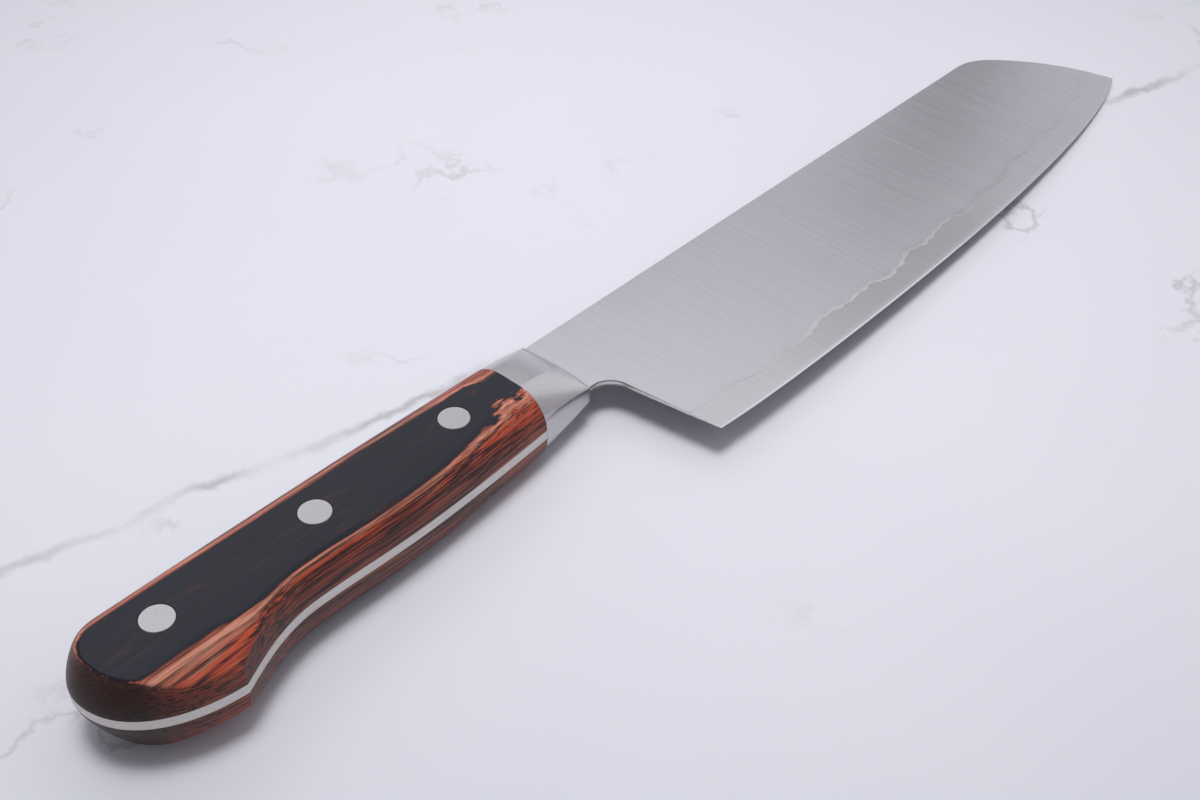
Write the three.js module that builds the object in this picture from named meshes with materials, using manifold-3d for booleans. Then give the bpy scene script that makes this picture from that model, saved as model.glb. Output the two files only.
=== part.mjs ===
// A kitchen knife with a tall blade, an angled nose and a riveted handle.
// Millimetres. +X runs to the tip, +Y to the spine and +Z up, with the knife lying on its right side.
// The shapes are drawn about the front of the bolster (x = 0), the line of the rivets (y = 0) and the
// middle of the steel (z = 0). The whole knife is then moved so that it rests on z = 0, over the origin.
import * as THREE from "three";
import { mergeVertices } from "three/addons/utils/BufferGeometryUtils.js";
import Module from "manifold-3d";

const wasm = await Module();
wasm.setup();

// Blade outline
const BLADE_LENGTH = 170; // heel to tip
const HEEL_SETBACK = 9.4; // bolster to heel
const BLADE_SPINE_Y = 11.1; // at the bolster
const SPINE_FALL = 1.35; // from the bolster to the corner of the nose
const EDGE_LOWEST_Y = -34.9;
const EDGE_LOWEST_AT = 43; // ahead of the heel
const HEEL_RISE = 1.35; // of the edge, from its lowest point back to the heel
const HEEL_CURVE = 14; // length over which the edge leaves the heel
const TIP_RISE = 12.7; // of the edge, from its lowest point to the tip
const TIP_ANGLE = THREE.MathUtils.degToRad(27); // of the edge at the tip
const EDGE_PULL_LOW = 55; // how far the edge stays flat ahead of its lowest point
const EDGE_PULL_TIP = 20; // how far the edge stays straight behind the tip
const NOSE_LENGTH = 17.8; // spine corner to tip, along the blade
const NOSE_BULGE = 3; // of the angled nose, out of its chord
const NOSE_ROUND = 5; // how far the corner between spine and nose is eased
const HEEL_ANGLE = THREE.MathUtils.degToRad(7.9); // lean of the heel, back to the choil
const CHOIL_RADIUS = 5.2; // of the hollow between heel and bolster
const NECK_UNDER_Y = -6.7; // underside of the neck in front of the bolster

// Blade section
const SPINE_THICKNESS = 1.9; // at the bolster
const NOSE_THICKNESS = 1.2; // of the spine, above the tip
const EDGE_THICKNESS = 0.2; // behind the cutting bevel
const GRIND_POWER = 1.5; // 1 is a flat grind, more is convex
const BEVEL_HEIGHT = 0.6;
const APEX_THICKNESS = 0.03;
const CORE_SHOWN = 6.9; // from the edge up to the line where the cladding starts
const LONG_WAVE = { height: 0.5, length: 41 }; // the line wanders
const SHORT_WAVE = { height: 0.55, length: 15.5 };
const FEATHER = 0.015; // thickness of the cladding where it starts
const LAYER_GAP = 0.004; // between core and cladding
const GRIND_MARGIN = 4; // ground stock beyond the outline, before it is cut out

// Handle outline, measured from its butt end and from the seam with the bolster
const SCALE_LENGTH = 100;
const HANDLE_SPINE_Y = 10.85;
const SEAM_BELLY_Y = -9.8;
const SEAM_RUN = 11; // how far the belly runs on straight behind the seam
const SEAM_DROP = 0.85; // how far it drops over that run
const SWELL_Y = -11.5;
const SWELL_FROM_BUTT = 66;
const SWELL_EASE = 10; // how far the belly stays level on either side of the swell
const WAIST_Y = -10.85;
const WAIST_FROM_BUTT = 41.8;
const WAIST_EASE = 8; // how far the belly stays level on either side of the waist
const HOOK_Y = -16.9;
const HOOK_FROM_BUTT = 21.5;
const HOOK_RUN = 6.1; // how far the belly runs straight into the hook
const HOOK_DROP = 2.9; // how far it drops over that run
const HOOK_FULLNESS = 12; // how far the butt runs straight out of the hook
const HOOK_TURN = 1.1; // how far it rises over that run
const BUTT_CORNER = 10.2; // radius between butt and spine
const BUTT_FULLNESS = 10; // how far the butt stays upright below that corner

// Handle section
const HANDLE_THICKNESS = 16.6;
const TANG_THICKNESS = 2.1;
const BELLY_SHOULDER = 3.6; // width of the rounding beside the flat, along the belly
const SPINE_SHOULDER = 4.6; // the same along the spine
const SEAM_BELLY_SHOULDER = 7; // the same at the bolster, on the belly
const SEAM_SPINE_SHOULDER = 8.6; // the same at the bolster, on the spine
const HOOK_INSET = 1; // how far the wall of the butt draws in at the hook
const CORNER_INSET = 3.3; // the same at the corner between butt and spine
const BUTT_LEAN = 1.4; // 1 is a straight wall, more is a barrelled one
const SHOULDER_BREAK = 0.3; // depth of the eased edge between the butt and the flat
const SHOULDER_WIDTH = 0.6; // width of that edge
const SEAM_SWELL_POWER = 3; // 1 spreads the wider rounding along the spine, more keeps it near the seam
const FLAT_LOW_Y = -7.9; // the flat slopes away below this line, towards the hook
const HOOK_SLOPE = 0.5; // steepest slope reached there
const HOOK_EASE = 3; // distance over which the slope starts

// Bolster
const BOLSTER_LENGTH = 14.8;
const BOLSTER_FRONT_THICKNESS = 5; // at the crease, where the rounded front starts
const BOLSTER_FRONT_TOP = 3.2; // the same beside the spine
const BOLSTER_FRONT_SPINE_Y = 11.8;
const BOLSTER_FRONT_BELLY_Y = -7.8;
const BOLSTER_FRONT_CORNER = 1.3; // rounding of the front, at the spine
const BOLSTER_FRONT_FOOT = 0.4; // height of the upright foot of that rounding
const BOLSTER_FULLNESS = 0.35; // how far the cheeks swell between seam and front
const FRONT_ROUND = 1.6; // length of the rounded front
const LIP_SIDE_THICKNESS = 3.2; // of the front edge, from the crease to the belly
const LIP_TOP_THICKNESS = 2.3; // the same above the crease, where it meets the blade
const LIP_RISE = 0.9; // how far the belly corner of the front is rounded off
const WALL_SEAM_Z = 4; // half width of the belly wall at the seam
const WALL_FRONT_Z = 1.7; // the same where the rounded front starts
const LIP_WALL_Z = 1; // the same at the front edge
const CREASE_SEAM_Y = -4.8; // crease between side and top, where it starts at the seam
const CREASE_FRONT_Y = -0.2; // where it ends at the front
const CREASE_WIDTH = 0.9; // over which the side turns into the top, at the front
const SIDE_FALL = 0.5; // how far the side drops from the crease to the belly wall
const SIDE_FULLNESS = 0.4; // how far the side leans beside the belly wall, where the front starts
const LIP_FULLNESS = 2.2; // the same at the front edge

// Inside the bolster: the neck of the blade meets the tongue of the tang
const TONGUE_LENGTH = 8.8; // tang, ahead of the seam
const TONGUE_TOP_Y = 7.6;
const TONGUE_LOW_Y = -6;
const NECK_TOP_Y = 8.8;
const NECK_LOW_Y = -5.2;

// Rivets, each a pin half and a socket half
const RIVET_COUNT = 3;
const RIVET_FROM_SEAM = 15;
const RIVET_FROM_BUTT = 17;
const HEAD_DIAMETER = 6.4;
const HEAD_DEPTH = 2.2;
const SHANK_DIAMETER = 4;
const PIN_DIAMETER = 2.3;
const PIN_LENGTH = 4.6; // beyond the shank of the pin half
const PIN_CHAMFER = 0.3;
const SOCKET_SPARE = 0.6; // depth of the socket below the pin

// Clearances
const SEAM_GAP = 0.05; // between parts that are glued or welded end to end
const POCKET_GAP = 0.06; // round the neck and tongue inside the bolster
const RIVET_GAP = 0.06; // round the rivets

const CUT_OVERRUN = 1; // how far a cutter runs on past the face that it opens

// Smoothness
const EDGE_STEPS = { heel: 12, front: 46 };
const OUTLINE_STEPS = { curve: 12, butt: 16, corner: 9, spine: 14 };
const CORE_LEVELS = 3; // up the bare core
const CLADDING_LEVELS = 6; // up the cladding, closer together near its start
const SECTION_STEPS = 8;
const BOLSTER_STEPS = 5;
const WALL_STEPS = 3; // up the belly wall of the bolster
const FRONT_STEPS = 4; // round the front of the bolster
const NOSE_STEPS = 16;
const ROUND_STEPS = 36;
const WALL_PASSES = 4; // for the height of the butt's wall
const WELD_DISTANCE = 1e-5; // points of a solid that are closer than this are one

// Places that follow from the sizes
const heelX = HEEL_SETBACK;
const tipX = HEEL_SETBACK + BLADE_LENGTH;
const tipY = EDGE_LOWEST_Y + TIP_RISE;
const heelY = EDGE_LOWEST_Y + HEEL_RISE;
const cornerX = tipX - NOSE_LENGTH;
const seamX = -BOLSTER_LENGTH;
const buttX = seamX - SCALE_LENGTH;
const tongueX = seamX + TONGUE_LENGTH;
const halfHandle = HANDLE_THICKNESS / 2;
const halfTang = TANG_THICKNESS / 2;

const { lerp, smoothstep } = THREE.MathUtils;
const bulge = (share) => 4 * share * (1 - share); // 1 halfway, and 0 at both ends
const at = (x, y) => new THREE.Vector2(x, y);
const at3 = (x, y, z) => new THREE.Vector3(x, y, z);

// A closed solid through rings of points, with flat ends that are filled in the plane of the two named axes.
// Seen from beyond the last ring, every ring runs anticlockwise.
function loft(rings, [across, up]) {
  const count = rings[0].length;
  const corners = rings.flat().flatMap((p) => [p.x, p.y, p.z]);
  const faces = [];
  for (let r = 0; r + 1 < rings.length; r++) {
    for (let i = 0; i < count; i++) {
      const a = r * count + i;
      const b = r * count + ((i + 1) % count);
      faces.push(a, b, b + count, a, b + count, a + count);
    }
  }
  const fill = (ring) => {
    const contour = ring.map((p) => at(p[across], p[up]));
    const triangles = THREE.ShapeUtils.triangulateShape(contour, []);
    return THREE.ShapeUtils.isClockWise(contour) ? triangles.map((t) => t.toReversed()) : triangles;
  };
  const last = (rings.length - 1) * count;
  for (const [a, b, c] of fill(rings[0])) faces.push(c, b, a);
  for (const [a, b, c] of fill(rings.at(-1))) faces.push(last + a, last + b, last + c);
  const geometry = new THREE.BufferGeometry();
  geometry.setAttribute("position", new THREE.Float32BufferAttribute(corners, 3));
  geometry.setIndex(faces);
  return geometry;
}

// A geometry as a solid that can be cut, and back again
function solid(geometry) {
  const bare = geometry.clone();
  bare.deleteAttribute("normal");
  bare.deleteAttribute("uv");
  const merged = mergeVertices(bare, WELD_DISTANCE);
  const mesh = { numProp: 3, vertProperties: merged.attributes.position.array };
  return new wasm.Manifold(new wasm.Mesh({ ...mesh, triVerts: new Uint32Array(merged.index.array) }));
}

function geometryOf(body) {
  const mesh = body.getMesh();
  const geometry = new THREE.BufferGeometry();
  geometry.setAttribute("position", new THREE.Float32BufferAttribute(mesh.vertProperties, 3));
  geometry.setIndex(Array.from(mesh.triVerts));
  return geometry;
}

// A flat shape made thick, centred on the middle of the steel
function plate(shape, thickness, curveSegments = ROUND_STEPS) {
  const geometry = new THREE.ExtrudeGeometry(shape, { depth: thickness, bevelEnabled: false, curveSegments });
  return geometry.translate(0, 0, -thickness / 2);
}

// Blade

// The cutting edge, from the heel through its lowest point to the tip
const edgeLowest = at(heelX + EDGE_LOWEST_AT, EDGE_LOWEST_Y);
const heelEdge = new THREE.QuadraticBezierCurve(
  at(heelX, heelY),
  at(heelX + HEEL_CURVE, EDGE_LOWEST_Y),
  edgeLowest,
);
const frontEdge = new THREE.CubicBezierCurve(
  edgeLowest,
  at(edgeLowest.x + EDGE_PULL_LOW, EDGE_LOWEST_Y),
  at(tipX - EDGE_PULL_TIP * Math.cos(TIP_ANGLE), tipY - EDGE_PULL_TIP * Math.sin(TIP_ANGLE)),
  at(tipX, tipY),
);

// The ground stock is longer than the blade, so its edge runs on straight at both ends.
function edgeBehindHeel(x) {
  const along = heelEdge.getTangent(0);
  return at(x, heelY + (along.y / along.x) * (x - heelX));
}

function edgeStations() {
  const edge = [...heelEdge.getPoints(EDGE_STEPS.heel), ...frontEdge.getPoints(EDGE_STEPS.front).slice(1)];
  const ahead = frontEdge.getTangent(1).multiplyScalar(GRIND_MARGIN);
  return [edgeBehindHeel(tongueX - GRIND_MARGIN), edgeBehindHeel(0), ...edge, edge.at(-1).clone().add(ahead)];
}

const spineY = (x) => BLADE_SPINE_Y - (SPINE_FALL * x) / cornerX;
const stockTop = BLADE_SPINE_Y + GRIND_MARGIN;

// Half the thickness of the steel at a height above the edge
function halfThickness(station, height) {
  const spine = lerp(SPINE_THICKNESS, NOSE_THICKNESS, smoothstep(station.x, 0, tipX));
  const share = Math.min(1, height / (spineY(station.x) - station.y));
  const full = lerp(spine, EDGE_THICKNESS, (1 - share) ** GRIND_POWER);
  return full / 2;
}

// Height of the wavy line where the cladding starts
function layerLine(x) {
  const wave = ({ height, length }) => height * Math.sin((2 * Math.PI * x) / length);
  return CORE_SHOWN + wave(LONG_WAVE) + wave(SHORT_WAVE);
}

function bladeLayers() {
  const core = [];
  const left = [];
  const right = [];
  for (const station of edgeStations()) {
    const line = layerLine(station.x);
    const layer = halfThickness(station, line);
    const point = (height, z) => new THREE.Vector3(station.x, station.y + height, z);
    const top = stockTop - station.y;

    const lower = [[0, APEX_THICKNESS / 2]];
    for (let level = 0; level <= CORE_LEVELS; level++) {
      const height = lerp(BEVEL_HEIGHT, line, level / CORE_LEVELS);
      lower.push([height, halfThickness(station, height)]);
    }
    lower.push([top, layer]);
    const rightSide = lower.map(([height, z]) => point(height, -z));
    const leftSide = lower.toReversed().map(([height, z]) => point(height, z));
    core.push([...rightSide, ...leftSide]);

    const inner = layer + LAYER_GAP;
    const ring = [[line, inner], [top, inner]];
    for (let level = CLADDING_LEVELS; level >= 0; level--) {
      const height = lerp(line, top, (level / CLADDING_LEVELS) ** 2);
      ring.push([height, Math.max(inner + FEATHER, halfThickness(station, height))]);
    }
    left.push(ring.map(([height, z]) => point(height, z)));
    right.push(ring.toReversed().map(([height, z]) => point(height, -z)));
  }
  return { core, left, right };
}

// Everything inside the blade's outline except its edge, which the grind makes.
// The part behind the bolster's front is the neck.
function bladeOutline() {
  const below = EDGE_LOWEST_Y - GRIND_MARGIN;
  const corner = at(cornerX, spineY(cornerX));
  const tip = at(tipX, tipY);
  const chord = tip.clone().sub(corner);
  const out = at(-chord.y, chord.x).normalize();
  const middle = corner.clone().add(tip).divideScalar(2);
  const pull = middle.addScaledVector(out, 2 * NOSE_BULGE); // the curve goes half as far as its pull
  const nose = new THREE.QuadraticBezierCurve(corner, pull, tip);
  const easedAt = NOSE_ROUND / nose.getLength();
  const leave = nose.getPoint(easedAt);
  const rest = new THREE.QuadraticBezierCurve(leave, pull.clone().lerp(tip, easedAt), tip);
  const past = nose.getTangent(1);
  past.multiplyScalar((tip.y - below) / -past.y);

  const sin = Math.sin(HEEL_ANGLE);
  const cos = Math.cos(HEEL_ANGLE);
  const choilY = NECK_UNDER_Y - CHOIL_RADIUS;
  const heelRun = (choilY - heelY + sin * CHOIL_RADIUS) / cos;
  const choilX = heelX - sin * heelRun - cos * CHOIL_RADIUS;

  const shape = new THREE.Shape();
  shape.moveTo(tongueX + SEAM_GAP, NECK_TOP_Y);
  shape.lineTo(SEAM_GAP, NECK_TOP_Y);
  shape.lineTo(SEAM_GAP, spineY(SEAM_GAP));
  shape.lineTo(cornerX - NOSE_ROUND, spineY(cornerX - NOSE_ROUND));
  shape.quadraticCurveTo(corner.x, corner.y, leave.x, leave.y);
  shape.quadraticCurveTo(rest.v1.x, rest.v1.y, tip.x, tip.y);
  shape.lineTo(tip.x + past.x, below);
  shape.lineTo(heelX + (heelY - below) * Math.tan(HEEL_ANGLE), below);
  shape.absarc(choilX, choilY, CHOIL_RADIUS, HEEL_ANGLE, Math.PI / 2, false);
  shape.lineTo(SEAM_GAP, NECK_UNDER_Y);
  shape.lineTo(SEAM_GAP, NECK_LOW_Y);
  shape.lineTo(tongueX + SEAM_GAP, NECK_LOW_Y);
  return shape;
}

const layers = bladeLayers();
const outlineCut = solid(plate(bladeOutline(), SPINE_THICKNESS + GRIND_MARGIN, NOSE_STEPS));
const cutOut = (rings) => geometryOf(solid(loft(rings, ["z", "y"])).intersect(outlineCut));

// Handle

// The outline from the seam back along the belly, round the hook and the butt, and forward along the spine,
// turned round at the end so that it runs anticlockwise.
// Each point knows how crisp its shoulder is (1 round the butt), how wide its rounding is and how far a
// crisp wall draws in.
function handleOutline() {
  const hook = at(buttX + HOOK_FROM_BUTT, HOOK_Y);
  const waist = at(buttX + WAIST_FROM_BUTT, WAIST_Y);
  const swell = at(buttX + SWELL_FROM_BUTT, SWELL_Y);
  const seam = at(seamX - SEAM_GAP, SEAM_BELLY_Y);
  const cornerTop = at(buttX + BUTT_CORNER, HANDLE_SPINE_Y);
  const cornerLow = at(buttX, HANDLE_SPINE_Y - BUTT_CORNER);

  const belly = new THREE.CubicBezierCurve(
    seam,
    at(seam.x - SEAM_RUN, seam.y - SEAM_DROP),
    at(swell.x + SWELL_EASE, swell.y),
    swell,
  );
  const hollow = new THREE.CubicBezierCurve(
    swell,
    at(swell.x - SWELL_EASE, swell.y),
    at(waist.x + WAIST_EASE, waist.y),
    waist,
  );
  const toHook = new THREE.CubicBezierCurve(
    waist,
    at(waist.x - WAIST_EASE, waist.y),
    at(hook.x + HOOK_RUN, hook.y + HOOK_DROP),
    hook,
  );
  const butt = new THREE.CubicBezierCurve(
    hook,
    at(hook.x - HOOK_FULLNESS, hook.y + HOOK_TURN),
    at(buttX, cornerLow.y - BUTT_FULLNESS),
    cornerLow,
  );
  const corner = new THREE.EllipseCurve(
    cornerTop.x, cornerLow.y, BUTT_CORNER, BUTT_CORNER, Math.PI, Math.PI / 2, true,
  );
  const spine = new THREE.LineCurve(cornerTop, at(seam.x, HANDLE_SPINE_Y));

  const points = [{ p: seam, crisp: 0, shoulder: SEAM_BELLY_SHOULDER, inset: HOOK_INSET }];
  const add = (curve, steps, crisp, shoulder, inset) => {
    for (let i = 1; i <= steps; i++) {
      const along = i / steps;
      const section = { crisp: crisp(along), shoulder: shoulder(along), inset: inset(along) };
      points.push({ p: curve.getPoint(along), ...section });
    }
  };
  const ease = (from, to) => (along) => lerp(from, to, smoothstep(along, 0, 1));
  const late = (from, to) => (along) => lerp(from, to, along ** SEAM_SWELL_POWER);
  const keep = (value) => () => value;
  const { curve, butt: buttSteps, corner: cornerSteps, spine: spineSteps } = OUTLINE_STEPS;
  add(belly, curve, keep(0), ease(SEAM_BELLY_SHOULDER, BELLY_SHOULDER), keep(HOOK_INSET));
  add(hollow, curve, keep(0), keep(BELLY_SHOULDER), keep(HOOK_INSET));
  add(toHook, curve, ease(0, 1), keep(BELLY_SHOULDER), keep(HOOK_INSET));
  add(butt, buttSteps, keep(1), keep(BELLY_SHOULDER), ease(HOOK_INSET, CORNER_INSET));
  add(corner, cornerSteps, ease(1, 0), ease(BELLY_SHOULDER, SPINE_SHOULDER), keep(CORNER_INSET));
  add(spine, spineSteps, keep(0), late(SPINE_SHOULDER, SEAM_SPINE_SHOULDER), keep(CORNER_INSET));

  points.forEach((point, i) => {
    const along = points[Math.min(i + 1, points.length - 1)].p.clone().sub(points[Math.max(i - 1, 0)].p);
    point.inward = at(along.y, -along.x).normalize();
  });
  points[0].inward.set(0, 1);
  points.at(-1).inward.set(0, -1);
  return points.toReversed();
}

const outline = handleOutline();

// Height of the flat of the handle, which slopes away towards the hook
function flatZ(y) {
  const past = Math.max(0, FLAT_LOW_Y - y);
  return halfHandle - (HOOK_SLOPE * past * past) / (past + HOOK_EASE);
}

// How far the barrelled wall of the butt has drawn in at a height
const barrel = (z, inset) => inset * ((z - halfTang) / (halfHandle - halfTang)) ** BUTT_LEAN;

// One point of the scale's surface: step 0 is at the tang and the last step is at the edge of the flat.
// Belly and spine are rounded by a quarter ellipse. The butt is a barrelled wall with a crisp shoulder.
function scalePoint({ p, inward, crisp, shoulder, inset }, step) {
  const turn = (step / SECTION_STEPS) * (Math.PI / 2);
  const rounded = p.clone().addScaledVector(inward, shoulder * (1 - Math.cos(turn)));
  const roundedZ = lerp(halfTang, halfHandle, Math.sin(turn));

  // The wall ends where it meets the flat, which slopes, so its height is found by going round a few times.
  let edgeZ = halfHandle;
  for (let pass = 0; pass < WALL_PASSES; pass++) {
    edgeZ = flatZ(p.y + inward.y * barrel(edgeZ, inset)) - SHOULDER_BREAK;
  }
  const wallSteps = SECTION_STEPS / 2;
  let crispZ = lerp(halfTang, edgeZ, Math.min(1, step / wallSteps));
  const cornered = p.clone().addScaledVector(inward, barrel(crispZ, inset));
  if (step > wallSteps) {
    const onTop = (step - wallSteps) / (SECTION_STEPS - wallSteps);
    const flat = cornered.clone().addScaledVector(inward, SHOULDER_WIDTH);
    flat.y = Math.max(flat.y, FLAT_LOW_Y);
    cornered.lerp(flat, onTop);
    crispZ = flatZ(cornered.y) - SHOULDER_BREAK * (1 - onTop) ** 2;
  }
  const place = rounded.lerp(cornered, crisp);
  return new THREE.Vector3(place.x, place.y, lerp(roundedZ, crispZ, crisp));
}

// Solids are drawn for the left side, which lies up. The right side is their mirror image.
const mirrored = (rings) => rings.map((ring) => ring.map((p) => at3(p.x, p.y, -p.z)).reverse());

// Where the rivets go, from the bolster back
const rivetX = Array.from({ length: RIVET_COUNT }, (_, i) =>
  lerp(seamX - RIVET_FROM_SEAM, buttX + RIVET_FROM_BUTT, i / (RIVET_COUNT - 1)),
);

// A body turned about the Z axis from a profile of [radius, height] corners
function turned(profile) {
  const points = profile.map(([radius, height]) => at(radius, height));
  return new THREE.LatheGeometry(points, ROUND_STEPS).rotateX(Math.PI / 2);
}

// The stepped hole that a rivet half sits in
function rivetHole(x, side) {
  const shank = SHANK_DIAMETER / 2 + RIVET_GAP;
  const head = HEAD_DIAMETER / 2 + RIVET_GAP;
  const floor = halfHandle - HEAD_DEPTH - RIVET_GAP;
  const above = halfHandle + HEAD_DEPTH;
  const cutter = turned([[0, 0], [shank, 0], [shank, floor], [head, floor], [head, above], [0, above]]);
  if (side < 0) cutter.rotateX(Math.PI);
  return solid(cutter.translate(x, 0, 0));
}

function scale(side) {
  const rings = [];
  for (let step = 0; step <= SECTION_STEPS; step++) {
    rings.push(outline.map((point) => scalePoint(point, step)));
  }
  const blank = solid(loft(side > 0 ? rings : mirrored(rings), ["x", "y"]));
  const drilled = rivetX.reduce((body, x) => body.subtract(rivetHole(x, side)), blank);
  return geometryOf(drilled);
}

function tang() {
  const shape = new THREE.Shape(outline.map(({ p }) => p));
  shape.lineTo(seamX - SEAM_GAP, TONGUE_LOW_Y);
  shape.lineTo(tongueX, TONGUE_LOW_Y);
  shape.lineTo(tongueX, TONGUE_TOP_Y);
  shape.lineTo(seamX - SEAM_GAP, TONGUE_TOP_Y);
  const radius = SHANK_DIAMETER / 2 + RIVET_GAP;
  const reach = TANG_THICKNESS;
  const drill = turned([[0, -reach], [radius, -reach], [radius, reach], [0, reach]]);
  const blank = solid(plate(shape, TANG_THICKNESS));
  const drilled = rivetX.reduce((body, x) => body.subtract(solid(drill.clone().translate(x, 0, 0))), blank);
  return geometryOf(drilled);
}

// Bolster

// The left cheek's section from belly to spine, at a share of the way from the seam to the rounded front, and
// then at a share of the way round that front.
// At the seam it is the rounded section of the handle. At the front it has three facets: a belly wall, a side
// and a top. The creases between them fade out towards the seam.
function bolsterRing(x, share, round) {
  const worn = 1 - Math.sqrt(1 - round * round);
  const frontSideZ = lerp(BOLSTER_FRONT_THICKNESS, LIP_SIDE_THICKNESS, worn) / 2;
  const frontTopZ = lerp(BOLSTER_FRONT_TOP, LIP_TOP_THICKNESS, worn) / 2;
  const frontBelly = BOLSTER_FRONT_BELLY_Y + LIP_RISE * worn;
  const frontWallZ = lerp(WALL_FRONT_Z, LIP_WALL_Z, worn);
  const lean = lerp(SIDE_FULLNESS, LIP_FULLNESS, worn);
  const frontSide = new THREE.QuadraticBezierCurve(
    at(frontBelly, frontWallZ),
    at(frontBelly + lean, frontSideZ - SIDE_FALL * (1 - worn)),
    at(CREASE_FRONT_Y, frontSideZ),
  );
  const roundedAt = (turn) =>
    at(SEAM_BELLY_Y + SEAM_BELLY_SHOULDER * (1 - Math.cos(turn)), lerp(halfTang, halfHandle, Math.sin(turn)));
  const wallTurn = Math.asin((WALL_SEAM_Z - halfTang) / (halfHandle - halfTang));
  const creaseTurn = Math.acos(1 - (CREASE_SEAM_Y - SEAM_BELLY_Y) / SEAM_BELLY_SHOULDER);

  const section = [at(lerp(SEAM_BELLY_Y, frontBelly, share), 0)];
  for (let step = 0; step < WALL_STEPS; step++) {
    const up = step / WALL_STEPS;
    const frontWall = at(frontBelly, lerp(BOLSTER_FRONT_FOOT, frontWallZ, up));
    section.push(roundedAt(lerp(0, wallTurn, up)).lerp(frontWall, share));
  }
  for (let step = 0; step <= SECTION_STEPS; step++) {
    const along = step / SECTION_STEPS;
    section.push(roundedAt(lerp(wallTurn, creaseTurn, along)).lerp(frontSide.getPoint(along), share));
  }
  const flatFrom = at(SEAM_BELLY_Y + SEAM_BELLY_SHOULDER, halfHandle);
  section.push(flatFrom.lerp(at(CREASE_FRONT_Y + CREASE_WIDTH, frontSideZ), share));

  const top = lerp(halfHandle, frontTopZ, share);
  const spine = lerp(HANDLE_SPINE_Y, BOLSTER_FRONT_SPINE_Y, share);
  const spineRound = lerp(SEAM_SPINE_SHOULDER, BOLSTER_FRONT_CORNER, share);
  const foot = lerp(halfTang, BOLSTER_FRONT_FOOT, share);
  for (let step = SECTION_STEPS; step >= 0; step--) {
    const turn = (step / SECTION_STEPS) * (Math.PI / 2);
    section.push(at(spine - spineRound * (1 - Math.cos(turn)), lerp(foot, top, Math.sin(turn))));
  }
  section.push(at(spine, 0));
  const fuller = 1 + (BOLSTER_FULLNESS * bulge(share)) / top;
  return section.map((p) => at3(x, p.x, p.y * fuller)).reverse();
}

// The pocket for the neck follows the grind of the blade, and the pocket for the tongue is flat.
function neckPocket() {
  const heights = [NECK_LOW_Y - POCKET_GAP, (NECK_LOW_Y + NECK_TOP_Y) / 2, NECK_TOP_Y + POCKET_GAP];
  const rings = [tongueX - POCKET_GAP, CUT_OVERRUN].map((x) => {
    const station = edgeBehindHeel(x);
    const half = (y) => halfThickness(station, y - station.y) + POCKET_GAP;
    const right = heights.map((y) => at3(x, y, -half(y)));
    const left = heights.toReversed().map((y) => at3(x, y, half(y)));
    return [...right, ...left];
  });
  return solid(loft(rings, ["z", "y"]));
}

function tonguePocket() {
  const shape = new THREE.Shape();
  shape.moveTo(seamX - CUT_OVERRUN, TONGUE_LOW_Y - POCKET_GAP);
  shape.lineTo(tongueX + POCKET_GAP, TONGUE_LOW_Y - POCKET_GAP);
  shape.lineTo(tongueX + POCKET_GAP, TONGUE_TOP_Y + POCKET_GAP);
  shape.lineTo(seamX - CUT_OVERRUN, TONGUE_TOP_Y + POCKET_GAP);
  return solid(plate(shape, TANG_THICKNESS + 2 * POCKET_GAP));
}

function bolster(side) {
  const rings = [];
  for (let step = 0; step <= BOLSTER_STEPS; step++) {
    const share = step / BOLSTER_STEPS;
    rings.push(bolsterRing(lerp(seamX, -FRONT_ROUND, share), share, 0));
  }
  for (let step = 1; step <= FRONT_STEPS; step++) {
    const round = Math.sin((step / FRONT_STEPS) * (Math.PI / 2));
    rings.push(bolsterRing(-FRONT_ROUND * (1 - round), 1, round));
  }
  const cheek = solid(loft(side > 0 ? rings : mirrored(rings), ["y", "z"]));
  return geometryOf(cheek.subtract(neckPocket()).subtract(tonguePocket()));
}

// Rivets

const headUnder = halfHandle - HEAD_DEPTH;
const shankEnd = SEAM_GAP; // the shanks meet inside the tang, just above its middle

function rivetPin() {
  const head = HEAD_DIAMETER / 2;
  const shank = SHANK_DIAMETER / 2;
  const pin = PIN_DIAMETER / 2;
  const end = shankEnd - PIN_LENGTH;
  return turned([
    [0, end],
    [pin - PIN_CHAMFER, end],
    [pin, end + PIN_CHAMFER],
    [pin, shankEnd],
    [shank, shankEnd],
    [shank, headUnder],
    [head, headUnder],
    [head, halfHandle],
    [0, halfHandle],
  ]);
}

function rivetSocket() {
  const head = HEAD_DIAMETER / 2;
  const shank = SHANK_DIAMETER / 2;
  const bore = PIN_DIAMETER / 2 + RIVET_GAP;
  const bottom = shankEnd - PIN_LENGTH - SOCKET_SPARE;
  return turned([
    [0, -halfHandle],
    [head, -halfHandle],
    [head, -headUnder],
    [shank, -headUnder],
    [shank, 0],
    [bore, 0],
    [bore, bottom],
    [0, bottom],
  ]);
}

// Finishes
function finish(color, roughness, metalness) {
  return new THREE.MeshStandardMaterial({ color, roughness, metalness });
}
const coreSteel = finish(0xb6b3af, 0.3, 1);
const cladSteel = finish(0xacacb2, 0.36, 1);
const tangSteel = finish(0xa9a8ac, 0.4, 1);
const bolsterSteel = finish(0xb3b2b8, 0.25, 1);
const rivetSteel = finish(0xc4c4c8, 0.42, 1);
const veneer = finish(0x4a2f2c, 0.45, 0);

const knife = new THREE.Group();
function addPiece(name, geometry, material) {
  const mesh = new THREE.Mesh(geometry, material);
  mesh.name = name;
  knife.add(mesh);
  return mesh;
}

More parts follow.
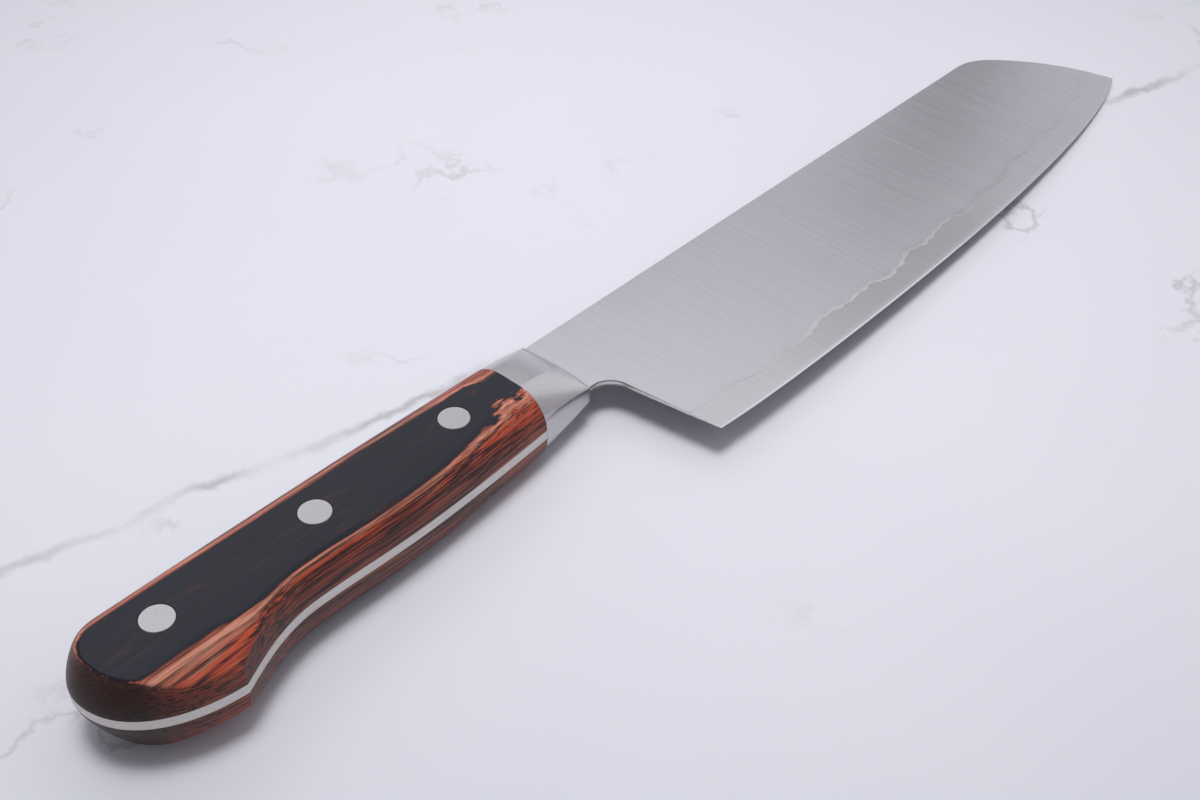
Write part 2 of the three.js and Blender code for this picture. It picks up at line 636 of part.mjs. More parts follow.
addPiece("blade_core", cutOut(layers.core), coreSteel);
addPiece("cladding_left", cutOut(layers.left), cladSteel);
addPiece("cladding_right", cutOut(layers.right), cladSteel);
addPiece("tang", tang(), tangSteel);
addPiece("bolster_left", bolster(1), bolsterSteel);
addPiece("bolster_right", bolster(-1), bolsterSteel);
addPiece("scale_left", scale(1), veneer);
addPiece("scale_right", scale(-1), veneer);
["front", "middle", "rear"].forEach((place, i) => {
  addPiece(`rivet_${place}_pin`, rivetPin(), rivetSteel).position.x = rivetX[i];
  addPiece(`rivet_${place}_socket`, rivetSocket(), rivetSteel).position.x = rivetX[i];
});

// The knife lies on its right scale, with the middle of its length and of its height over the origin.
const topY = Math.max(BOLSTER_FRONT_SPINE_Y, HANDLE_SPINE_Y, BLADE_SPINE_Y);
knife.position.set(-(buttX + tipX) / 2, -(topY + EDGE_LOWEST_Y) / 2, halfHandle);

export default knife;
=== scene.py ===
# %% [markdown]
# # A kitchen knife with a tall blade and a riveted handle
# The knife lies on its right side. Its steel is a blade of three layers, welded to a tang that runs the
# whole length of the handle. Two bolster cheeks close over the weld, and two scales of dyed wood are riveted
# to the tang. This lesson dresses the solid model of that knife, one piece after another.
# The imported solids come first. They fix where everything is, so each new piece is drawn in their frame.

# %% The frame
import math

import bmesh
import bpy
import numpy as np
from mathutils import Matrix, Vector
from mathutils.geometry import tessellate_polygon


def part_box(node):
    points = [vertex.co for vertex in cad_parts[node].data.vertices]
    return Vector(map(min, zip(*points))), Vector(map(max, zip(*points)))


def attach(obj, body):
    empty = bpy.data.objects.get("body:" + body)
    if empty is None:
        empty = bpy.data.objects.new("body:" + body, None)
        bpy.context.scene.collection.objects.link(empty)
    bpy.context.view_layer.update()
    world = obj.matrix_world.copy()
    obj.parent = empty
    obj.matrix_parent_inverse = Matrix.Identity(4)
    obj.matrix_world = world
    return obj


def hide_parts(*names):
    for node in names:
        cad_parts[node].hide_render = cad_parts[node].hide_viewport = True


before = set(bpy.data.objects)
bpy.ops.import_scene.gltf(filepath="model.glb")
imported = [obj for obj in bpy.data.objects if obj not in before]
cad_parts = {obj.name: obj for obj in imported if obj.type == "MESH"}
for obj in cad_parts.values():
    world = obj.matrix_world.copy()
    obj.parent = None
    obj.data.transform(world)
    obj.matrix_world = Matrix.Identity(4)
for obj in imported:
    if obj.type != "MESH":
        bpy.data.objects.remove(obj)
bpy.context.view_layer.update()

print("solids in the frame:", ", ".join(sorted(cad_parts)))

# %% [markdown]
# A knife maker measures from three things: the front of the bolster, the line of the rivets and the middle
# of the steel. Those three meet at one point, and every size below is in millimetres from it. The point and
# the main sizes are read from the solids, so the pieces follow them.

# %% Where things are
MM = 0.001

rivet_nodes = {
    half: [f"rivet_{place}_{half}" for place in ("front", "middle", "rear")] for half in ("pin", "socket")
}


def middle(node):
    low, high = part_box(node)
    return (low + high) / 2


zero = Vector((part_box("bolster_left")[1].x, middle("rivet_front_pin").y, middle("tang").z))


def from_zero(point):
    return (np.array(point) - np.array(zero)) / MM


butt_x, hook_y, half_tang = from_zero(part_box("scale_left")[0])
seam_x = from_zero(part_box("bolster_left")[0])[0]
_, handle_spine_y, half_handle = from_zero(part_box("scale_left")[1])
tip_x = from_zero(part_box("blade_core")[1])[0]
edge_lowest_y = from_zero(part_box("blade_core")[0])[1]
rivet_xs = [from_zero(middle(node))[0] for node in rivet_nodes["pin"]]
head_diameter = from_zero(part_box("rivet_front_pin")[1])[0] * 2 - rivet_xs[0] * 2
print(f"butt at {butt_x:.1f}, seam at {seam_x:.1f}, tip at {tip_x:.1f}, rivet heads {head_diameter:.1f} mm")

# %% [markdown]
# ## Helpers
# A curve through a few handles is how the maker's template was drawn, so one function gives the points of
# such a curve. Others blend two values, ease a share so that it starts and ends gently, go round a circle
# and space the points of a line.


# %% Curves and shares
def blend(start, end, share):
    return start + (end - start) * share


def eased(share):
    return share * share * (3 - 2 * share)


def curve(handles, steps):
    """Points along the smooth curve that starts at the first handle and ends at the last."""
    share = np.linspace(0, 1, steps + 1)[:, None]
    layer = [np.repeat(np.array([handle], float), steps + 1, axis=0) for handle in handles]
    while len(layer) > 1:
        layer = [blend(a, b, share) for a, b in zip(layer, layer[1:])]
    return layer[0]


def round_points(turn):
    return np.column_stack([np.cos(turn), np.sin(turn)])


def spaced(points, steps):
    """The same line, with its points evenly spaced along it."""
    points = np.asarray(points, float)
    run = np.concatenate([[0], np.cumsum(np.linalg.norm(np.diff(points, axis=0), axis=1))])
    wanted = np.linspace(0, run[-1], steps + 1)
    return np.column_stack([np.interp(wanted, run, points[:, axis]) for axis in range(points.shape[1])])


# %% [markdown]
# Every piece ends the same way. Its faces are turned outwards, it is shaded smooth except at real edges, and
# it is tied to the knife: it rides on the only body, takes a finish and stands for its solids.


# %% Making a piece
def mesh_from(name, points, faces):
    mesh = bpy.data.meshes.new(name)
    mesh.from_pydata((np.asarray(points) * MM + np.array(zero)).tolist(), [], [list(face) for face in faces])
    return mesh


def make_piece(name, mesh, material, nodes, edge_angle):
    work = bmesh.new()
    work.from_mesh(mesh)
    bmesh.ops.remove_doubles(work, verts=work.verts, dist=0.001 * MM)
    bmesh.ops.recalc_face_normals(work, faces=work.faces)
    work.to_mesh(mesh)
    work.free()
    mesh.shade_smooth()
    mesh.set_sharp_from_angle(angle=math.radians(edge_angle))
    mesh.materials.clear()
    mesh.materials.append(material)
    piece = bpy.data.objects.new(name, mesh)
    bpy.context.collection.objects.link(piece)
    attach(piece, "root")
    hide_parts(*nodes)
    print(f"{name}: {len(mesh.vertices)} points, stands for {', '.join(nodes)}")


# %% [markdown]
# Materials and Geometry Nodes are both trees of nodes. One function adds a node, sets it and links it.
# A colour is written as it looks on a screen and turned into light by one function. The inputs of a Map
# Range node are, in order, a value, the two ends that it comes from and the two ends that it goes to.


# %% Nodes and colours
SMOOTH = {"interpolation_type": "SMOOTHSTEP"}  # for a range that starts and ends gently


def add(tree, kind, links=(), **settings):
    """Adds one node. A kind in capitals is a Math node with that operation. Links give its inputs, by place
    or by name: a value, a socket, or a node, which stands for its first output in use."""
    if kind.isupper():
        kind, settings["operation"] = "Math", kind
    node = tree.nodes.new(kind if "Node" in kind else "ShaderNode" + kind)
    for name, value in settings.items():
        setattr(node, name, value)
    for name, value in links.items() if isinstance(links, dict) else enumerate(links):
        if isinstance(value, bpy.types.Node):
            value = next(socket for socket in value.outputs if socket.enabled)
        if isinstance(value, bpy.types.NodeSocket):
            tree.links.new(value, node.inputs[name])
        else:
            node.inputs[name].default_value = value
    return node


def colour(hexadecimal):
    parts = [int(hexadecimal[i : i + 2], 16) / 255 for i in (1, 3, 5)]
    return [part / 12.92 if part <= 0.04045 else ((part + 0.055) / 1.055) ** 2.4 for part in parts] + [1]


def ramp_stops(node, stops):
    """Sets the stops of a colour ramp from pairs of place and colour."""
    band = node.color_ramp
    while len(band.elements) > 1:
        band.elements.remove(band.elements[0])
    band.elements[0].position, band.elements[0].color = stops[0][0], colour(stops[0][1])
    for place, tint in stops[1:]:
        band.elements.new(place).color = colour(tint)


def new_material(name):
    material = bpy.data.materials.new(name)
    material.use_nodes = True
    material.node_tree.nodes.clear()
    return material, material.node_tree


# %% [markdown]
# ## Camera
# The photograph was taken from behind the butt, on the belly side, looking down along the knife. The three
# rivet heads are circles of one size on one line, so their ellipses in the picture give the camera's place.

# %% Camera
CAMERA_AT = (-0.2159, -0.1692, 0.2254)
CAMERA_LOOK = (0.5531, 0.5143, -0.6555)
CAMERA_UP = (0.4841, 0.4420, 0.7552)
LENS = 50  # on the usual 36 mm wide sensor

look = Vector(CAMERA_LOOK).normalized()
right = look.cross(Vector(CAMERA_UP)).normalized()
up = right.cross(look)
camera = bpy.data.objects.new("camera", bpy.data.cameras.new("camera"))
camera.data.lens = LENS
camera.data.clip_start = 0.01
camera.matrix_world = Matrix.Translation(CAMERA_AT) @ Matrix((right, up, -look)).transposed().to_4x4()
bpy.context.collection.objects.link(camera)
bpy.context.scene.camera = camera
bpy.context.scene.view_settings.view_transform = "Standard"
print("camera", [round(value, 3) for value in camera.location])

# %% [markdown]
# ## Table and light
# The heavy blade tips the knife forward, so it rests on the front of the handle and on its tip. The table
# is tilted by that small angle under the knife instead, because the knife stays where its solids are.

# %% Table
TABLE_SIZE = 6.0
TABLE_GAP = 0.02 * MM
HALF_TIP = 0.45 * MM  # half the thickness of the steel behind the tip

rest_front = Vector((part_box("scale_right")[1].x, 0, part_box("scale_right")[0].z))
rest_tip = Vector((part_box("blade_core")[1].x, 0, middle("blade_core").z - HALF_TIP))
slope = (rest_tip.z - rest_front.z) / (rest_tip.x - rest_front.x)

reach = TABLE_SIZE / 2
corners = [(-reach, -reach), (reach, -reach), (reach, reach), (-reach, reach)]
table_points = [(x, y, rest_front.z - TABLE_GAP + slope * (x - rest_front.x)) for x, y in corners]
table_mesh = bpy.data.meshes.new("table")
table_mesh.from_pydata(table_points, [], [(0, 1, 2, 3)])
table = bpy.data.objects.new("table", table_mesh)
bpy.context.collection.objects.link(table)
print(f"table tilted by {math.degrees(math.atan(slope)):.2f} degrees")

# %% [markdown]
# The table is pale stone, honed: a dull sheen, a very faint clouding and a few thin grey veins. One vein is
# drawn along a line that crosses the table behind the handle. The others are where a smooth noise passes its
# middle value, in a few patches only. A picture of stone would repeat, and noise doesn't.

# %% Stone
VEIN_START = Vector((-0.1346, 0.0589))
VEIN_END = Vector((-0.0507, 0.0357))
VEIN_WANDER = 0.016
VEIN_WIDTH = 0.0022
VEIN_STRENGTHS = (0.42, 0.62, 0.12, 0.75)
HAIR_WIDTH = 0.012  # in the measure of the noise
HAIR_PATCHES = (0.53, 0.66, 0.0, 0.6)
STONE_NOISES = {  # waves to a metre, detail and roughness
    "clouds": (6.0, 3.0, 0.5),
    "wavering": (38.0, 6.0, 0.62),
    "patches": (45.0, 4.0, 0.5),
    "crossing": (11.0, 7.0, 0.6),
    "where": (16.0, 3.0, 0.5),
}

stone, tree = new_material("honed pale stone")
place = add(tree, "TexCoord").outputs["Object"]
noise = {
    name: add(tree, "TexNoise", {"Vector": place, "Scale": scale, "Detail": detail, "Roughness": roughness})
    for name, (scale, detail, roughness) in STONE_NOISES.items()
}
tint = add(tree, "ValToRGB", {"Fac": noise["clouds"]})
ramp_stops(tint, [(0.3, "#D6D7DF"), (0.7, "#DBDCE3")])

run = (VEIN_END - VEIN_START).normalized()
aside = Vector((-run.y, run.x))
across = add(tree, "VectorMath", [place, (*aside, 0)], operation="DOT_PRODUCT")
from_line = add(tree, "SUBTRACT", [across, VEIN_START.dot(aside) + VEIN_WANDER / 2])
wandering = add(tree, "MULTIPLY_ADD", [noise["wavering"], VEIN_WANDER, from_line])
distance = add(tree, "ABSOLUTE", [wandering])
vein = add(tree, "MapRange", [distance, VEIN_WIDTH, 0.0], **SMOOTH)
broken = add(tree, "MapRange", [noise["patches"], *VEIN_STRENGTHS])
strong = add(tree, "MULTIPLY", [vein, broken])

middle_value = add(tree, "SUBTRACT", [noise["crossing"], 0.5])
near_middle = add(tree, "ABSOLUTE", [middle_value])
hair = add(tree, "MapRange", [near_middle, HAIR_WIDTH, 0.0])
few = add(tree, "MapRange", [noise["where"], *HAIR_PATCHES])
faint = add(tree, "MULTIPLY", [hair, few])
veins = add(tree, "MAXIMUM", [strong, faint])
veined = add(tree, "Mix", {"Factor": veins, "A": tint, "B": colour("#ABA5A8")}, data_type="RGBA")
shader = add(tree, "BsdfPrincipled", {"Base Color": veined, "Roughness": 0.55, "Specular IOR Level": 0.25})
add(tree, "OutputMaterial", {"Surface": shader})
table_mesh.materials.append(stone)
print("stone with", len(tree.nodes), "nodes")

# %% [markdown]
# A lamp hangs almost straight above the knife. A large square one gives soft shadows, and a narrow spread
# keeps them short and the table brightest round the knife. Polished steel would show the lamp as a white
# square, so reflections leave it out and the steel shows the room.

# %% Light
LAMP_SIZE = 0.47
LAMP_POWER = 0.47
LAMP_SPREAD = math.radians(32)
LAMP_AT = Vector((0.0, 0.03, 0.9))
LAMP_AIM = Vector((0.01, 0.06, 0))

lamp = bpy.data.objects.new("lamp", bpy.data.lights.new("lamp", "AREA"))
lamp.data.size = LAMP_SIZE
lamp.data.energy = LAMP_POWER
lamp.data.spread = LAMP_SPREAD
lamp.visible_glossy = False
lamp_turn = (LAMP_AIM - LAMP_AT).to_track_quat("-Z", "Y").to_matrix().to_4x4()
lamp.matrix_world = Matrix.Translation(LAMP_AT) @ lamp_turn
bpy.context.collection.objects.link(lamp)
print("one lamp of", LAMP_POWER, "W")

# %% [markdown]
# The room around is a pale studio with a bright ceiling. It is drawn by direction only: heights run from 0 at
# the horizon to 1 straight up. Beyond the tip stands one dim upright thing, such as the frame between two
# windows. It can't be seen, but the satin blade shows it as a soft dark band at its nose.

# %% Room
ROOM_COLOURS = [
    *[(0.0, "#D8D7DE"), (0.12, "#D8D7DE"), (0.25, "#DAD9E0"), (0.36, "#D4D3DA"), (0.48, "#BAB9C0")],
    *[(0.60, "#C8C7CE"), (0.67, "#F0EFF6"), (0.76, "#F4F3FA"), (0.86, "#CDCCD4"), (1.0, "#D8D7DE")],
]
DIM_DIRECTION = math.radians(28)  # where the dim upright stands, round from the knife's length
DIM_COLOUR = "#3A3A40"

world = bpy.data.worlds.new("pale studio")
bpy.context.scene.world = world
world.use_nodes = True
tree = world.node_tree
tree.nodes.clear()
direction = add(tree, "TexCoord").outputs["Generated"]
along, sideways, height = add(tree, "SeparateXYZ", [direction]).outputs
studio = add(tree, "ValToRGB", {"Fac": height})
ramp_stops(studio, ROOM_COLOURS)

dim_x, dim_y = math.cos(DIM_DIRECTION), math.sin(DIM_DIRECTION)
ahead = add(tree, "VectorMath", [direction, (dim_x, dim_y, 0)], operation="DOT_PRODUCT")
beside = add(tree, "VectorMath", [direction, (-dim_y, dim_x, 0)], operation="DOT_PRODUCT")
dim = add(tree, "GREATER_THAN", [ahead, 0.0])
dim_sides = [
    (beside, 0.085, 0.0, 0.0, 0.80),  # soft on one side
    (beside, -0.035, 0.0),  # crisp on the other
    (height, 0.64, 0.50),  # faded at its head
    (height, 0.26, 0.42),  # and at its foot
]
for side in dim_sides:
    fading = add(tree, "MapRange", side, **SMOOTH)
    dim = add(tree, "MULTIPLY", [dim, fading])
seen = add(tree, "Mix", {"Factor": dim, "A": studio, "B": colour(DIM_COLOUR)}, data_type="RGBA")

# %% [markdown]
# Low in the room it is brightest straight ahead of the knife and dimmer on the belly's side. Behind the
# camera the whole room is dimmer. A bright panel hangs high on the spine's side, and the rivets and the flat
# of the handle show it.

# %% Windows and panel
ROOM_STRENGTH = 1.15
WINDOW_BOOST = 1.2
WINDOW_TOP = (0.40, 0.50)
BEHIND_CAMERA = (-0.1, 0.5, 0.36, 1.0)
PANEL_DIRECTION = (0.17, 0.65, 0.74)
PANEL_GAIN = (0.95, 0.998, 1.0, 2.6)
BRIGHT = "#FFFFFF"
WINDOW_GREYS = [(0.2, "#C2C2C2"), (0.42, "#D8D8D8"), (0.55, BRIGHT), (0.74, BRIGHT), (0.79, "#DADADA")]

round_share = add(tree, "MapRange", [sideways, -1.0, 1.0])
window = add(tree, "ValToRGB", {"Fac": round_share})
ramp_stops(window, WINDOW_GREYS)
raised = add(tree, "MapRange", [height, *WINDOW_TOP], **SMOOTH)
windowed = add(tree, "Mix", {"Factor": raised, "A": window, "B": 1 / WINDOW_BOOST})
strength = add(tree, "MULTIPLY", [windowed, WINDOW_BOOST * ROOM_STRENGTH])
facing = add(tree, "VectorMath", [direction, PANEL_DIRECTION], operation="DOT_PRODUCT")
for gain in ((along, *BEHIND_CAMERA), (facing, *PANEL_GAIN)):
    change = add(tree, "MapRange", gain, **SMOOTH)
    strength = add(tree, "MULTIPLY", [strength, change])
room = add(tree, "Background", {"Color": seen, "Strength": strength})
add(tree, "OutputWorld", {"Surface": room})
print("room with", len(tree.nodes), "nodes")


# %% [markdown]
# ## Steel
# The blade is stainless steel, ground and then rubbed with fine abrasive from spine to edge. Fine parallel
# scratches spread a reflection across themselves, which a shader calls anisotropy. The scratches are far
# finer than a pixel, so they are drawn a few times too wide.
# One function makes every plain steel, because they differ only in colour, polish and how they were rubbed.


# %% Steel
NOISE_RANGE = (0.3, 0.7)  # nearly all of a noise lies in it
SCRATCH_DEPTH = 0.01 * MM


def in_millimetres(tree, turn=0.0, stretch=(1, 1, 1)):
    """The place on the knife in millimetres from its zero point, turned and stretched for a pattern."""
    place = add(tree, "TexCoord").outputs["Object"]
    shift = tuple(-value / MM for value in zero)
    whole = add(tree, "Mapping", {"Vector": place, "Scale": (1 / MM,) * 3, "Location": shift})
    return add(tree, "Mapping", {"Vector": whole, "Rotation": (0, 0, turn), "Scale": stretch})


def grain(tree, waves, detail=3.0, roughness=0.5, turn=0.0):
    """A noise on the knife with so many waves to a millimetre along each axis."""
    place = in_millimetres(tree, turn, waves)
    return add(tree, "TexNoise", {"Vector": place, "Scale": 1.0, "Detail": detail, "Roughness": roughness})


def steel(name, dark, light, roughness, scratches, turn=0.0, bump=0.15):
    material, tree = new_material(name)
    fine = grain(tree, scratches, roughness=0.6, turn=turn)
    cloud = grain(tree, (0.07, 0.07, 0.07))
    mixed = add(tree, "MULTIPLY_ADD", [fine, 0.75, 0.12])
    both = add(tree, "MULTIPLY_ADD", [cloud, 0.25, mixed])
    tint = add(tree, "ValToRGB", {"Fac": both})
    ramp_stops(tint, [(0.35, dark), (0.75, light)])
    rough = add(tree, "MapRange", [fine, *NOISE_RANGE, roughness * 0.88, roughness * 1.12])
    relief = add(tree, "Bump", {"Height": fine, "Strength": bump, "Distance": SCRATCH_DEPTH})
    metal = {"Base Color": tint, "Roughness": rough, "Normal": relief, "Metallic": 1.0}
    add(tree, "OutputMaterial", {"Surface": add(tree, "BsdfPrincipled", metal)})
    return material


bolster_steel = steel("polished bolster steel", "#BBB8BA", "#C6C3C4", 0.20, (0.08, 2.5, 2.5), bump=0.05)
tang_steel = steel("ground tang steel", "#BDB8B4", "#D4CFCA", 0.38, (0.1, 3.0, 3.0))
rivet_steel = steel("sanded rivet steel", "#B7B5B5", "#C9C7C5", 0.40, (2.2, 2.2, 1.0), math.radians(35))
print("three plain steels")

# %% [markdown]
# The steel of the blade shows its layers. Where the core comes out it is a little warmer than the cladding,
# and the border is a thin pale line that wanders, because the layers were forged. The blade carries the
# height of each point above the edge and the height of the border, so both layers can share one pattern.
# The core's tint fades out towards the tip, and the pale border towards heel and tip. The cutting bevel was
# ground last, and its lighter coat is a painted highlight, strongest from heel to middle and faded towards
# the tip. Each of these is a coat of colour laid over the one before.
# The upright rims of the steel get painted light: painted shade on the cladding's rim and a painted highlight
# on the core's.

# %% Blade steel
RUBBED = math.radians(-18)  # the scratches lean back towards the handle
SCRATCHES = (6.5, 0.04, 1.0)  # to a millimetre
BORDER_WANDER = 2.4  # millimetres
BORDER_SOFT = 0.6
BORDER_WIDTHS = (0.35, 0.65, 0.25, 0.85)
BEVEL_HEIGHT = 0.6
# The bevel's painted highlight is full up to 85 mm along the blade and down to a tenth at 130 mm.
BEVEL_HIGHLIGHT_FADE = (130.0, 85.0, 0.1)  # along the blade
LAYER_FADES = ((128.0, 84.0), (24.0, 60.0), (120.0, 88.0))  # tint out, border in and border out
SATIN = (0.20, 0.23)


def blade_steel(name, rim_painted_light):
    material, tree = new_material(name)
    height = add(tree, "Attribute", attribute_name="height").outputs["Fac"]
    border = add(tree, "Attribute", attribute_name="line").outputs["Fac"]
    along = add(tree, "SeparateXYZ", [in_millimetres(tree)]).outputs["X"]
    wander = grain(tree, (0.30, 0.30, 0.30), 4.0, 0.62)
    over = add(tree, "SUBTRACT", [height, border])
    over_mm = add(tree, "MULTIPLY_ADD", [over, 1 / MM, -BORDER_WANDER / 2])
    above = add(tree, "MULTIPLY_ADD", [wander, BORDER_WANDER, over_mm])
    bare = add(tree, "MapRange", [above, BORDER_SOFT, -BORDER_SOFT], **SMOOTH)
    tinted, rising, falling = (add(tree, "MapRange", [along, *fade], **SMOOTH) for fade in LAYER_FADES)
    shown = add(tree, "MULTIPLY", [rising, falling])
    away = add(tree, "ABSOLUTE", [above])
    width = add(tree, "MapRange", [grain(tree, (0.5, 0.5, 0.5), 2.0), *BORDER_WIDTHS])
    part = add(tree, "DIVIDE", [away, width])
    thin = add(tree, "MapRange", [part, 1.0, 0.3], **SMOOTH)
    # Painted highlight: the strip of the cutting bevel is lightened, fading out towards the tip.
    bevel = BEVEL_HEIGHT * MM
    low = add(tree, "MapRange", [height, 0.8 * bevel, 0.5 * bevel])
    painted_highlight = add(tree, "MapRange", [along, *BEVEL_HIGHLIGHT_FADE])
    # The upright rims take a colour of painted light of their own, set for each steel.
    normal = add(tree, "NewGeometry").outputs["Normal"]
    upward = add(tree, "SeparateXYZ", [normal]).outputs["Z"]
    flat = add(tree, "ABSOLUTE", [upward])
    rim = add(tree, "MapRange", [flat, 0.5, 0.3])

    tint = colour("#D1CFD1")
    layer_coats = [(bare, tinted, "#D0CECF"), (bare, shown, "#C4C1C2"), (thin, shown, "#E4E2E1")]
    for there, as_far, coat in [*layer_coats, (low, painted_highlight, "#E2E3E6"), (rim, 1.0, rim_painted_light)]:
        share = add(tree, "MULTIPLY", [there, as_far])
        tint = add(tree, "Mix", {"Factor": share, "A": tint, "B": colour(coat)}, data_type="RGBA")

    fine = grain(tree, SCRATCHES, roughness=0.6, turn=RUBBED)
    shade = add(tree, "ValToRGB", {"Fac": fine})
    ramp_stops(shade, [(0.3, "#F2F2F3"), (0.7, "#FFFFFF")])
    rubbed = {"Factor": 1.0, "A": tint, "B": shade}
    scratched = add(tree, "Mix", rubbed, data_type="RGBA", blend_type="MULTIPLY")
    rough = add(tree, "MapRange", [fine, *NOISE_RANGE, *SATIN])
    relief = add(tree, "Bump", {"Height": fine, "Strength": 0.03, "Distance": SCRATCH_DEPTH})
    lengthwise = add(tree, "Tangent", direction_type="UV_MAP", uv_map="flat_map")
    metal = {"Base Color": scratched, "Roughness": rough, "Normal": relief, "Metallic": 1.0}
    shader = add(tree, "BsdfPrincipled", {**metal, "Tangent": lengthwise, "Anisotropic": 0.5})
    add(tree, "OutputMaterial", {"Surface": shader})
    return material


# The rim colours are painted light: painted shade on the cladding's rim, a painted highlight on the core's.
cladding_steel = blade_steel("satin stainless cladding", "#8C8686")
core_steel = blade_steel("satin carbon core", "#D6D3D2")
print("two blade steels")

# %% [markdown]
# ## Dyed veneer
# The scales are sheets of thin wood, dyed black, red and brown, soaked in resin and pressed into one block.
# Where the block is cut flat, one sheet shows. Where it is rounded, the sheets below come out as stripes that
# follow the shape like the lines of a map. So the pattern is solid: its colour depends on how deep a point
# lies below the flat of the handle, and the stripes come by themselves.
# No sheet is quite even, so the depth wanders along the grain. Near the bolster it wanders so far that red
# patches break through the black.

# %% Depth below the flat
TOP_SHEET = 0.30  # millimetres of the black sheet left above the first red one
SPINE_LOSS = 0.42  # millimetres of it lost along the spine
SPINE_BAND = (6.2, 3.6)  # between these distances from the spine
HOOK_LOSS = 0.20  # lost at the hook, where the sheet below is thick as well
HOOK_LENGTH = 36  # millimetres from the butt
HOOK_SHEET = (TOP_SHEET, 1.9, 0.0, -0.75)
FLAME_REACH = (20, 3)  # millimetres behind the bolster
FLAME_DEPTH = 2.9
UNEVEN = 0.45
WOOD_NOISES = {  # waves to a millimetre, detail, roughness and turn
    "wander": ((0.05, 0.2, 0.3), 4.0, 0.5, 0.0),
    "flames": ((0.15, 0.40, 0.4), 6.0, 0.6, 0.2),
    "fringe": ((0.07, 1.9, 1.9), 3.0, 0.5, 0.03),
    "fibre": ((0.045, 1.1, 3.0), 6.0, 0.6, 0.055),
    "pale fibre": ((0.07, 2.4, 4.0), 4.0, 0.6, 0.02),
    "growth": ((0.014, 0.13, 0.1), 3.0, 0.5, math.radians(16)),
}

veneer, tree = new_material("dyed birch laminate")
noise = {name: grain(tree, *sizes) for name, sizes in WOOD_NOISES.items()}
along, upward, outward = add(tree, "SeparateXYZ", [in_millimetres(tree)]).outputs
away = add(tree, "ABSOLUTE", [outward])
depth = add(tree, "SUBTRACT", [half_handle, away])

flame_range = [seam_x - reach for reach in FLAME_REACH]
near = add(tree, "MapRange", [along, *flame_range, 0.0, FLAME_DEPTH], **SMOOTH)
spine_range = [handle_spine_y - distance for distance in SPINE_BAND]
spine = add(tree, "MapRange", [upward, *spine_range, 0.0, SPINE_LOSS])
hook = add(tree, "MapRange", [along, butt_x + HOOK_LENGTH, butt_x + HOOK_LENGTH / 2], **SMOOTH)
sloping = add(tree, "MapRange", [depth, 0.02, 0.25])
hooked = add(tree, "MULTIPLY", [hook, sloping])

wandered = add(tree, "SUBTRACT", [noise["wander"], 0.5])
flared = add(tree, "SUBTRACT", [noise["flames"], 0.46])
frayed = add(tree, "SUBTRACT", [noise["fringe"], 0.5])
fraying = add(tree, "MULTIPLY_ADD", [hooked, 0.8, UNEVEN])
deep = add(tree, "ADD", [depth, spine])
for change, amount in ((wandered, UNEVEN), (flared, near), (frayed, fraying), (hooked, HOOK_LOSS)):
    deep = add(tree, "MULTIPLY_ADD", [change, amount, deep])
thick = add(tree, "MapRange", [deep, *HOOK_SHEET])
deep = add(tree, "MULTIPLY_ADD", [hook, thick, deep])
print("depth of the sheets from", len(tree.nodes), "nodes")

# %% [markdown]
# A ramp gives each depth its sheet. Over that lie coats of colour. Dark fibres run along the grain, and so do
# pale ones, but fewer. The black sheet keeps a few thin brown growth lines, which lie askew to the handle.
# Where the wall is cut across the grain, as round the butt, it is darkened. The scale knows where that is.

# %% Dyed veneer
DEPTHS = 8.0  # the ramp covers this many millimetres
SHEETS = [
    *[(0.0, "#171A24"), (TOP_SHEET, "#171A24"), (0.35, "#5E2E27"), (0.44, "#B0604A"), (0.60, "#C98A74")],
    *[(0.78, "#AE664F"), (1.00, "#A85E47"), (1.10, "#30191A"), (1.20, "#B4482A"), (1.65, "#AE4428")],
    *[(1.78, "#2A1617"), (1.90, "#AA442A"), (2.60, "#9C3F28"), (2.72, "#2A1717"), (2.86, "#9A3F29")],
    *[(3.80, "#8C3926"), (3.95, "#2A1716"), (4.12, "#8A3D2A"), (5.40, "#7C3A2A"), (5.60, "#2A1816")],
    *[(5.80, "#8E4833"), (7.20, "#824430")],
]
STREAKS = (0.56, 0.48)
STREAK_DEPTHS = (TOP_SHEET, 1.0, 0.15, 0.97)
PALE_STREAKS = (0.55, 0.68, 0.0, 0.6)
GROWTH_RINGS = 6.0
GROWTH_LINE = (0.0, 0.07, 0.36, 0.0)
BUTT_WALL_DARKENING = 0.92
SEMI_GLOSS = (0.46, 0.38)

share = add(tree, "DIVIDE", [deep, DEPTHS])
sheets = add(tree, "ValToRGB", {"Fac": share})
ramp_stops(sheets, [(depth_mm / DEPTHS, tint) for depth_mm, tint in SHEETS])

fewer_in_front = add(tree, "MULTIPLY_ADD", [near, 0.03, noise["fibre"]])
fewer = add(tree, "MULTIPLY_ADD", [hook, 0.06, fewer_in_front])
streak = add(tree, "MapRange", [fewer, *STREAKS])
below = add(tree, "MapRange", [deep, *STREAK_DEPTHS])
streaked = add(tree, "MULTIPLY", [streak, below])
paler = add(tree, "MapRange", [noise["pale fibre"], *PALE_STREAKS])
inside = add(tree, "MapRange", [deep, TOP_SHEET, 0.6])
shallow = add(tree, "MapRange", [deep, 2.6, 1.2, 0.25])
pale_there = add(tree, "MULTIPLY", [inside, shallow])
pale = add(tree, "MULTIPLY", [paler, pale_there])
rings = add(tree, "MULTIPLY", [noise["growth"], GROWTH_RINGS])
nearness = add(tree, "PINGPONG", [rings, 0.5])
growth_line = add(tree, "MapRange", [nearness, *GROWTH_LINE])
# The upright wall round the butt is darkened almost to black.
cut_across = add(tree, "Attribute", attribute_name="end_grain").outputs["Fac"]
darkened_butt_wall = add(tree, "MapRange", [cut_across, 0.0, 1.0, 0.0, BUTT_WALL_DARKENING])

